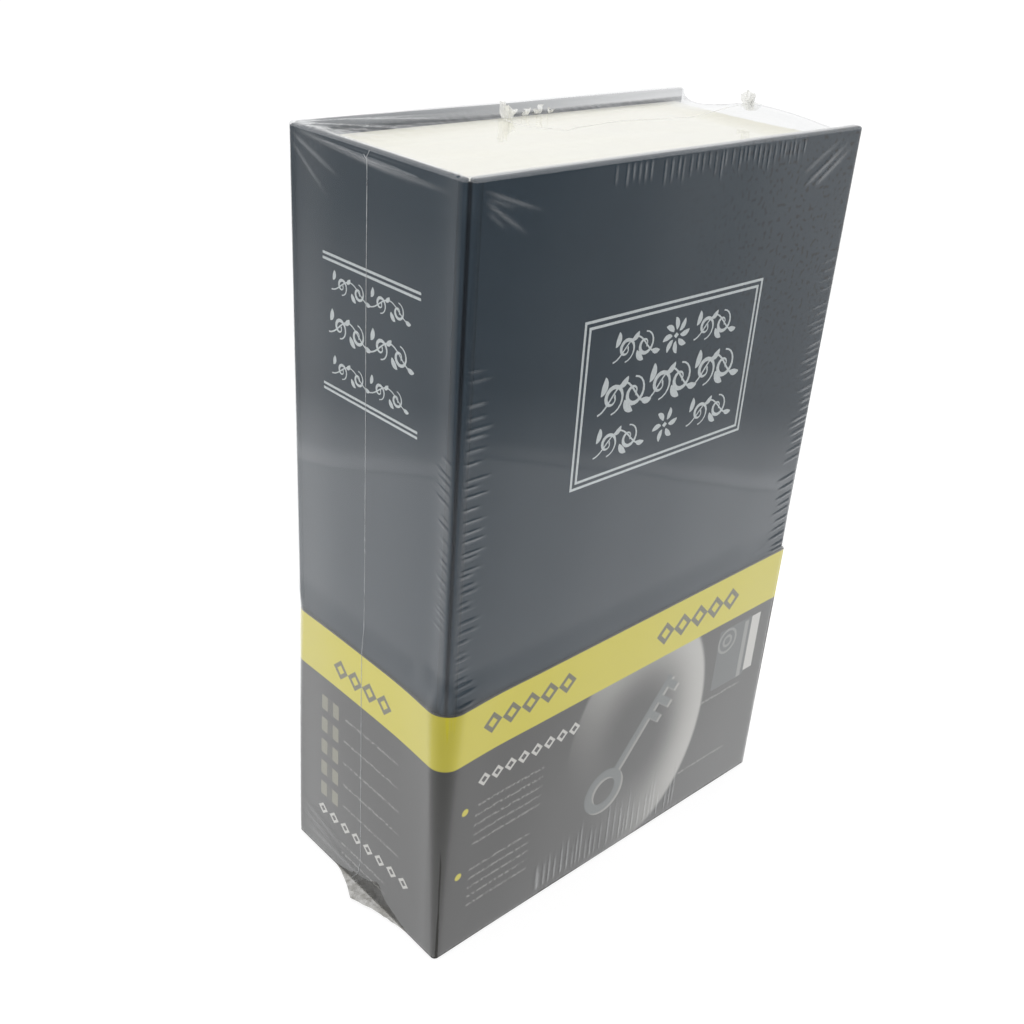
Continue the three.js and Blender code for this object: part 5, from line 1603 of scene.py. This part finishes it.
def sheet_mirror(finish):
    """The share of light that a thin clear sheet mirrors: Fresnel's formula at both of its faces."""
    facing = finish.node("LayerWeight", inputs={"Blend": 0.5}, output="Facing")
    cosine = 1 - facing
    bent = (cosine * cosine + (FILM_INDEX**2 - 1)).math("SQRT")
    first = (bent - cosine) / (bent + cosine)
    second = (cosine * (bent + cosine) - 1) / (cosine * (bent - cosine) + 1)
    one_face = first * first * (second * second + 1) * 0.5
    return one_face * 2 / (one_face + 1)


def shrink_film():
    film = Finish("shrink_film", FILM_WHITE)
    haze_and_highlight = film.node("Attribute", {"attribute_name": "haze_and_highlight"}, output="Fac")
    mirror = sheet_mirror(film)
    return film.surface(
        Base_Color=FILM_WHITE,
        Metallic=mirror / (mirror + haze_and_highlight),
        Roughness=0.05,
        Alpha=(mirror + haze_and_highlight).clamped(),
    )


def gathered_film(name, colour, least):
    """Film that was melted together or crumpled: milky, and half clear."""
    milky = Finish(name, colour)
    lumps = milky.noise(milky.place(), GATHER_SIZE, 3, 0.6)
    return milky.surface(
        Base_Color=colour,
        Roughness=lumps * 0.2 + 0.12,
        Alpha=lumps.smooth(0.2, 0.8) * 0.4 + least,
        Normal=milky.bump(lumps, GATHER_RELIEF),
    )


SHRINK_FILM = shrink_film()
WELDED_FILM = gathered_film("welded_film", WELD_WHITE, 0.30)
PALE_WELD = gathered_film("pale_weld", TUFT_WHITE, 0.30)
GATHERED_FILM = gathered_film("gathered_film", TUFT_WHITE, 0.50)
FOLDED_FILM_SHADED = gathered_film("folded_film_painted_shade", FLAP_SHADE_GREY, 0.55)

# %% Cut the film into parts that ride on each body, and two that ride on neither
PAST_GROOVE, FOLD_ON_SPINE = 0.5, 0.3
cage.vertices.foreach_set("co", (film_place * MM).ravel())
stored = cage.attributes.new("haze_and_highlight", "FLOAT", "POINT")
stored.data.foreach_set("value", np.clip(haze_and_highlight, 0, 1).astype(np.float32))
corners = np.zeros(len(cage.polygons) * 4, int)
cage.polygons.foreach_get("vertices", corners)
centre = tight_place[corners.reshape(-1, 4)].mean(1)
low_part = centre[:, 2] < SLEEVE_HIGH.z + FILM_TENT
front_part = centre[:, 1] < FRONT_HIGH.y
joint_part = front_part & (centre[:, 0] < FRONT_LOW.x + PAST_GROOVE) & ~low_part
fold_part = low_part & (centre[:, 0] < FOLD_EDGE_X) & (centre[:, 1] < FOLD_EDGE_Y)
fold_part &= front_part | (centre[:, 0] < SPINE_LOW.x + FOLD_ON_SPINE)
front_part &= ~(joint_part | fold_part)
back_part = centre[:, 1] > BACK_LOW.y
JOINT_ENDS = (
    Vector((SPINE_LOW.x, FRONT_HIGH.y, 0)),
    Vector((FRONT_LOW.x + PAST_GROOVE, FRONT_LOW.y, 0)),
)
# Each part: its squares, the body that it rides on, and for a part on neither body, two ends of the zone
# between them.
FILM_PARTS = {
    "film_front": (front_part, "cover", None),
    "film_back": (back_part, "case", None),
    "film_wrap": (~(front_part | back_part | joint_part | fold_part), "case", None),
    "film_joint": (joint_part, None, JOINT_ENDS),
    "film_fold": (fold_part, None, (TURN_START, TURN_END)),
}
for name, (wanted, body, ends) in FILM_PARTS.items():
    bm = bmesh.new()
    bm.from_mesh(cage)
    unwanted = [face for face, keep in zip(bm.faces, wanted) if not keep]
    bmesh.ops.delete(bm, geom=unwanted, context="FACES")
    mesh = bpy.data.meshes.new(name)
    bm.to_mesh(mesh)
    bm.free()
    stands_for = ["shrink_film"] if name == "film_wrap" else []
    made = piece_of_mesh(name, mesh, SHRINK_FILM, body, stands_for, sharp_deg=70)
    if ends:
        ends[0] * MM
        ends[1] * MM
        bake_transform(made)
    print(name, 2 * len(mesh.polygons), "triangles")
bpy.data.meshes.remove(cage)

# %% [markdown]
# ## Weld lines and gathered ends
# The wrapping machine welds the film along the spine and over the head and tail, and the heat
# gathers what is spare there into small milky tufts. A weld line is a thin curve that follows the
# film, so it is drawn through the film's own height at each place. The welds over the ends are
# paler than those on the sides, so they are a piece of their own. A tuft is a small grid, narrower
# at its foot, with folds that deepen upwards and a ragged top from smooth noise.

# %% Weld lines
WELD_RADIUS = 0.08
WELD_STEP = 1.5
# Places on the spine and the fore-edge as (Y, Z), and on the head and the tail as (X, Y).
SPINE_WELD = (
    (4.6, 0.6), (2.0, 4.0), (0.9, 9.0), (1.0, 60.0),
    (0.8, 110.0), (0.9, 176.9), (1.3, 178.0), (0.2, 179.6),
)
SPINE_FORK = ((1.3, 178.0), (2.1, 178.6))
FORE_RIM = ((23.0, 179.7), (-23.0, 179.7))
HEAD_WELD = (
    (-6.2, 20.6), (-5.9, 16.4), (-3.5, 12.8), (0.5, 7.6),
    (5.0, 9.1), (19.0, 10.5), (43.8, 6.4), (56.0, 3.4),
)


def film_weld(lines, side, plane):
    """Thin curves on one side of the film: places in two of its axes, lifted to the film."""
    first, second = plane
    drawn = []
    tight, final = tight_place[side], film_place[side]
    for line in lines:
        line = np.array(line)
        run = np.concatenate([[0], np.cumsum(np.linalg.norm(np.diff(line, axis=0), axis=1))])
        steps = np.linspace(0, run[-1], max(4, round(run[-1] / WELD_STEP)))
        points = []
        for a, b in zip(np.interp(steps, run, line[:, 0]), np.interp(steps, run, line[:, 1])):
            nearest = np.argmin((tight[:, first] - a) ** 2 + (tight[:, second] - b) ** 2)
            place = final[nearest].copy()
            place[first] += a - tight[nearest, first]
            place[second] += b - tight[nearest, second]
            points.append((*place, WELD_RADIUS))
        drawn.append(points)
    return drawn


side_welds = film_weld((SPINE_WELD, SPINE_FORK), on_spine, (1, 2))
side_welds += film_weld((FORE_RIM,), on_fore, (1, 2))
end_welds = film_weld((HEAD_WELD,), on_head, (0, 1))
end_welds += film_weld((HEAD_WELD,), on_tail, (0, 1))
for name, lines, finish in (
    ("film_welds", side_welds, WELDED_FILM),
    ("film_end_welds", end_welds, PALE_WELD),
):
    made = piece(name, curve_bmesh(name, lines), finish, "case", sharp_deg=80)
    print(name, len(lines), "lines of", len(made.data.polygons), "faces")

# %% Tufts and the flap at the spine's foot
# Each tuft: its foot, its width at the top, its height, its turn in degrees and its seed.
TUFTS = (
    ((-6.0, 20.6, 178.0), 4.2, 3.4, -35, 1.0),
    ((-5.6, 20.4, 178.0), 3.6, 2.8, 20, 2.0),
    ((0.0, 21.3, 178.0), 3.2, 1.5, 10, 4.0),
    ((4.5, 22.0, 178.0), 3.4, 1.8, 5, 5.0),
    ((8.0, 21.6, 178.0), 2.6, 1.2, 15, 9.0),
    ((56.0, 3.4, 178.4), 4.8, 4.4, 80, 6.0),
    ((56.2, 3.0, 178.4), 4.6, 4.0, 30, 7.0),
    ((56.0, 2.4, 178.4), 4.2, 3.4, -40, 8.0),
)
TUFT_CELLS, TUFT_SEED = (20, 14), 3
TUFT_FOOT, TUFT_OPENS = 0.55, 0.7
TUFT_FOLDS, TUFT_FOLD_DEEP, TUFT_WOBBLE = 7.0, 0.16, 0.22
TUFT_TOP, TUFT_TOP_SWING, TUFT_TOP_RAGGED = 0.72, 0.28, 0.25
# The flap's outline, as places along Y and how far it reaches out from the sleeve there.
FLAP = (
    (13.0, 0.1), (8.5, 0.9), (4.0, 2.4), (-0.8, 4.6),
    (-4.0, 3.4), (-7.4, 2.2), (-14.0, 1.0), (-19.0, 0.2),
)
FLAP_CELLS, FLAP_TUCKED = (26, 10), 0.4
FLAP_LIFT, FLAP_CRUMPLE, FLAP_SLOPE = 0.30, 0.35, 0.05


def tuft(bm, foot, wide, tall, turn_deg, seed):
    """One gathered ear of film on the head, as a grid that widens upwards."""
    made = bmesh.ops.create_grid(bm, x_segments=TUFT_CELLS[0], y_segments=TUFT_CELLS[1], size=0.5)["verts"]
    turn = Matrix.Rotation(math.radians(turn_deg), 3, "Z")
    for vert in made:
        across, up = vert.co.x * 2, vert.co.y + 0.5
        wobble = noise.noise_vector(Vector((across * 1.3, up * 1.6, seed * 7.1)))
        fold = math.sin(across * TUFT_FOLDS + seed + 1.8 * up) * TUFT_FOLD_DEEP * wide
        ragged = TUFT_TOP + TUFT_TOP_SWING * math.cos(across * 2.1 + seed)
        ragged += TUFT_TOP_RAGGED * noise.noise(Vector((across * 2.4, seed, 0)))
        spread = TUFT_FOOT + (1 - TUFT_FOOT) * up**TUFT_OPENS
        local = Vector((across * wide / 2 * spread, fold * up**TUFT_OPENS, up * tall * ragged))
        local += wobble * TUFT_WOBBLE * wide * up
        vert.co = turn @ local + Vector(foot)
        vert.co.z = max(vert.co.z, foot[2])


noise.seed_set(TUFT_SEED)  # Unseeded, noise_vector would follow the clock.
bm = bmesh.new()
for row in TUFTS:
    tuft(bm, *row)
piece("film_tufts", bm, GATHERED_FILM, "case", sharp_deg=80, outwards=False)

bm = bmesh.new()
bmesh.ops.create_grid(bm, x_segments=FLAP_CELLS[0], y_segments=FLAP_CELLS[1], size=0.5)
flap_y, flap_reach = np.array(FLAP[::-1]).T
for vert in bm.verts:
    y_at = float(flap_y[0] + (vert.co.x + 0.5) * (flap_y[-1] - flap_y[0]))
    reach = float(np.interp(y_at, flap_y, flap_reach)) * (vert.co.y + 0.5)
    crumple = noise.noise(Vector((y_at * 0.9, reach * 0.8, 3.0)))
    lifted = FLAP_LIFT + FLAP_CRUMPLE * crumple + FLAP_SLOPE * reach
    vert.co = (SLEEVE_LOW.x + FLAP_TUCKED - reach, y_at, lifted)
piece("film_tail_flap", bm, FOLDED_FILM_SHADED, "case", sharp_deg=80, outwards=False)
print(len(TUFTS), "ears of film made, and the tail flap")

# %% [markdown]
# ## Lights, floor and world
# The photograph is a cut-out on white, lit softly from all round. A white world seen only by the
# camera gives the paper white, and a softer level lights the book. Films and metals mirror the
# room, so glossy rays see a bright table under a dimmer room: the table's edge makes the soft line
# across the covers.

# %% Levels of the world and the table
DAYLIGHT = 0.86
ROOM_LOW, ROOM_HIGH, ROOM_FADES = 0.95, 0.6, (0.2, 0.7)
FLOOR_SIZE, FLOOR_Z = 12000, -0.45
FLOOR_GLOW, FLOOR_GREY, WHITE_SHARE = 1.25, (0.9, 0.9, 0.9, 1), 0.6
# The table in reflections: two directions over it, its edges, and how bright it is on it and beyond it.
TABLE_ALONG, TABLE_ACROSS = Vector((0.772, -0.635, 0)), Vector((0.635, 0.772, 0))
TABLE_EDGES, BRIGHT_SIDE, TABLE_LEAST = (-270, 243), (-250, 60), 0.08
RIM_START, RIM_END, RIM_SHINE = (2, 5), (8, 26), 0.3
GLOW_BEFORE, GLOW_BEYOND = 90, 110
FAR_SIDE, FAR_LEAST, ROOM_SIDE = (-750, -420), 0.45, (-200, 130)
BEYOND_LEAST, BEYOND_DIM, BEYOND_GLOW = 0.06, 0.48, 0.62
print("daylight", DAYLIGHT, "and the room in reflections", ROOM_LOW, "to", ROOM_HIGH)


def light_rays(nodes):
    """1 for rays that leave the camera, straight or through glass, and 1 for rays off a glossy face."""
    outputs = nodes.node("LightPath").socket.node.outputs
    camera, through, glossy = (
        Wire(nodes, outputs["Is " + kind + " Ray"]) for kind in ("Camera", "Transmission", "Glossy")
    )
    return camera.math("MAXIMUM", through), glossy


# %% World and floor
def room():
    """White to the camera, even to the book, and dimmer high up in its reflections."""
    world = bpy.data.worlds.new("room")
    world.use_nodes = True
    bpy.context.scene.world = world
    sky = Nodes(world.node_tree)
    seen, glossy = light_rays(sky)
    height = sky.axes(sky.node("TexCoord", output="Generated"))[2]
    mirrored = height.smooth(*ROOM_FADES) * (ROOM_HIGH - ROOM_LOW) + ROOM_LOW
    strength = seen + (1 - seen) * (glossy * mirrored + (1 - glossy) * DAYLIGHT)
    background = world.node_tree.nodes["Background"]
    background.inputs["Color"].default_value = (1, 1, 1, 1)
    world.node_tree.links.new(strength.socket, background.inputs["Strength"])


def table_shine(top):
    """How bright reflections show the table: a lit top with a thin shining rim, and dimmer beyond."""
    place = top.place()
    along, across = (
        top.node("VectorMath", {"operation": "DOT_PRODUCT"}, {0: place, 1: direction}, output="Value")
        for direction in (TABLE_ALONG, TABLE_ACROSS)
    )
    low, high = TABLE_EDGES
    inside = along.smooth(low - 1, low) * (1 - along.smooth(high, high + 1))
    (start, risen), (falling, end) = RIM_START, RIM_END
    rim = along.smooth(high + start, high + risen) * (1 - along.smooth(high + falling, high + end))
    rim = rim + (1 - along.smooth(low - risen, low - start)) * along.smooth(low - end, low - falling)
    towards = across.smooth(*BRIGHT_SIDE)
    glow = (1 - along.smooth(high, high + GLOW_BEYOND)) * along.smooth(low - GLOW_BEFORE, low)
    far = along.smooth(*FAR_SIDE) * (1 - FAR_LEAST) + FAR_LEAST
    beyond = across.smooth(*ROOM_SIDE) * far * (BEYOND_DIM + glow * BEYOND_GLOW) + BEYOND_LEAST
    beyond = beyond + rim * towards * RIM_SHINE
    return inside * (towards + TABLE_LEAST) + (1 - inside) * beyond


def table_top():
    """White, with the book's soft shadow, and edges that only reflections show."""
    top = Finish("table_top", (1, 1, 1))
    seen, glossy = light_rays(top)
    mirrored = top.node("Emission", inputs={"Color": (1, 1, 1, 1), "Strength": table_shine(top)})
    white = top.node("Emission", inputs={"Color": (1, 1, 1, 1), "Strength": FLOOR_GLOW})
    plain = top.node("BsdfDiffuse", inputs={"Color": FLOOR_GREY})
    shadowed = top.node("MixShader", inputs={0: WHITE_SHARE, 1: plain, 2: white})
    plain_or_seen = top.node("MixShader", inputs={0: seen, 1: plain, 2: shadowed})
    both = top.node("MixShader", inputs={0: glossy, 1: plain_or_seen, 2: mirrored})
    top.tree.links.new(both.socket, top.tree.nodes["Material Output"].inputs["Surface"])
    return top.material


room()
bm = bmesh.new()
bmesh.ops.create_grid(bm, x_segments=1, y_segments=1, size=FLOOR_SIZE / 2)
bmesh.ops.translate(bm, vec=(0, 0, FLOOR_Z), verts=bm.verts)
table = piece("table", bm, table_top(), outwards=False)
table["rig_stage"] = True
print("table", FLOOR_SIZE / 1000, "m wide")

# %% Lamps
# Each lamp: its name, its place, its width and its power in watts.
LAMPS = (
    ("lamp_left", (-900, -500, 900), 700, 3.0),
    ("lamp_above", (100, 200, 1600), 900, 3.4),
)


def soft_lamp(name, place, size, power):
    """A square area lamp at a place in millimetres, turned to the book."""
    lamp = bpy.data.lights.new(name, "AREA")
    lamp.size = size * MM
    lamp.energy = power
    made = bpy.data.objects.new(name, lamp)
    made.location = Vector(place) * MM
    made.rotation_euler = (CAMERA_TARGET - Vector(place)).to_track_quat("-Z", "Y").to_euler()
    bpy.context.scene.collection.objects.link(made)


for row in LAMPS:
    soft_lamp(*row)
bpy.context.scene.view_settings.view_transform = "Standard"
print("lamps:", [lamp.name for lamp in bpy.data.lights])

# %% [markdown]
# ## The finer model's size
# The finer model should reach little further than the loaded one, so its box is printed.

# %% Print the finer model's box
low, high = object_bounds()
print("visual box", [round(side / MM, 1) for side in high - low])
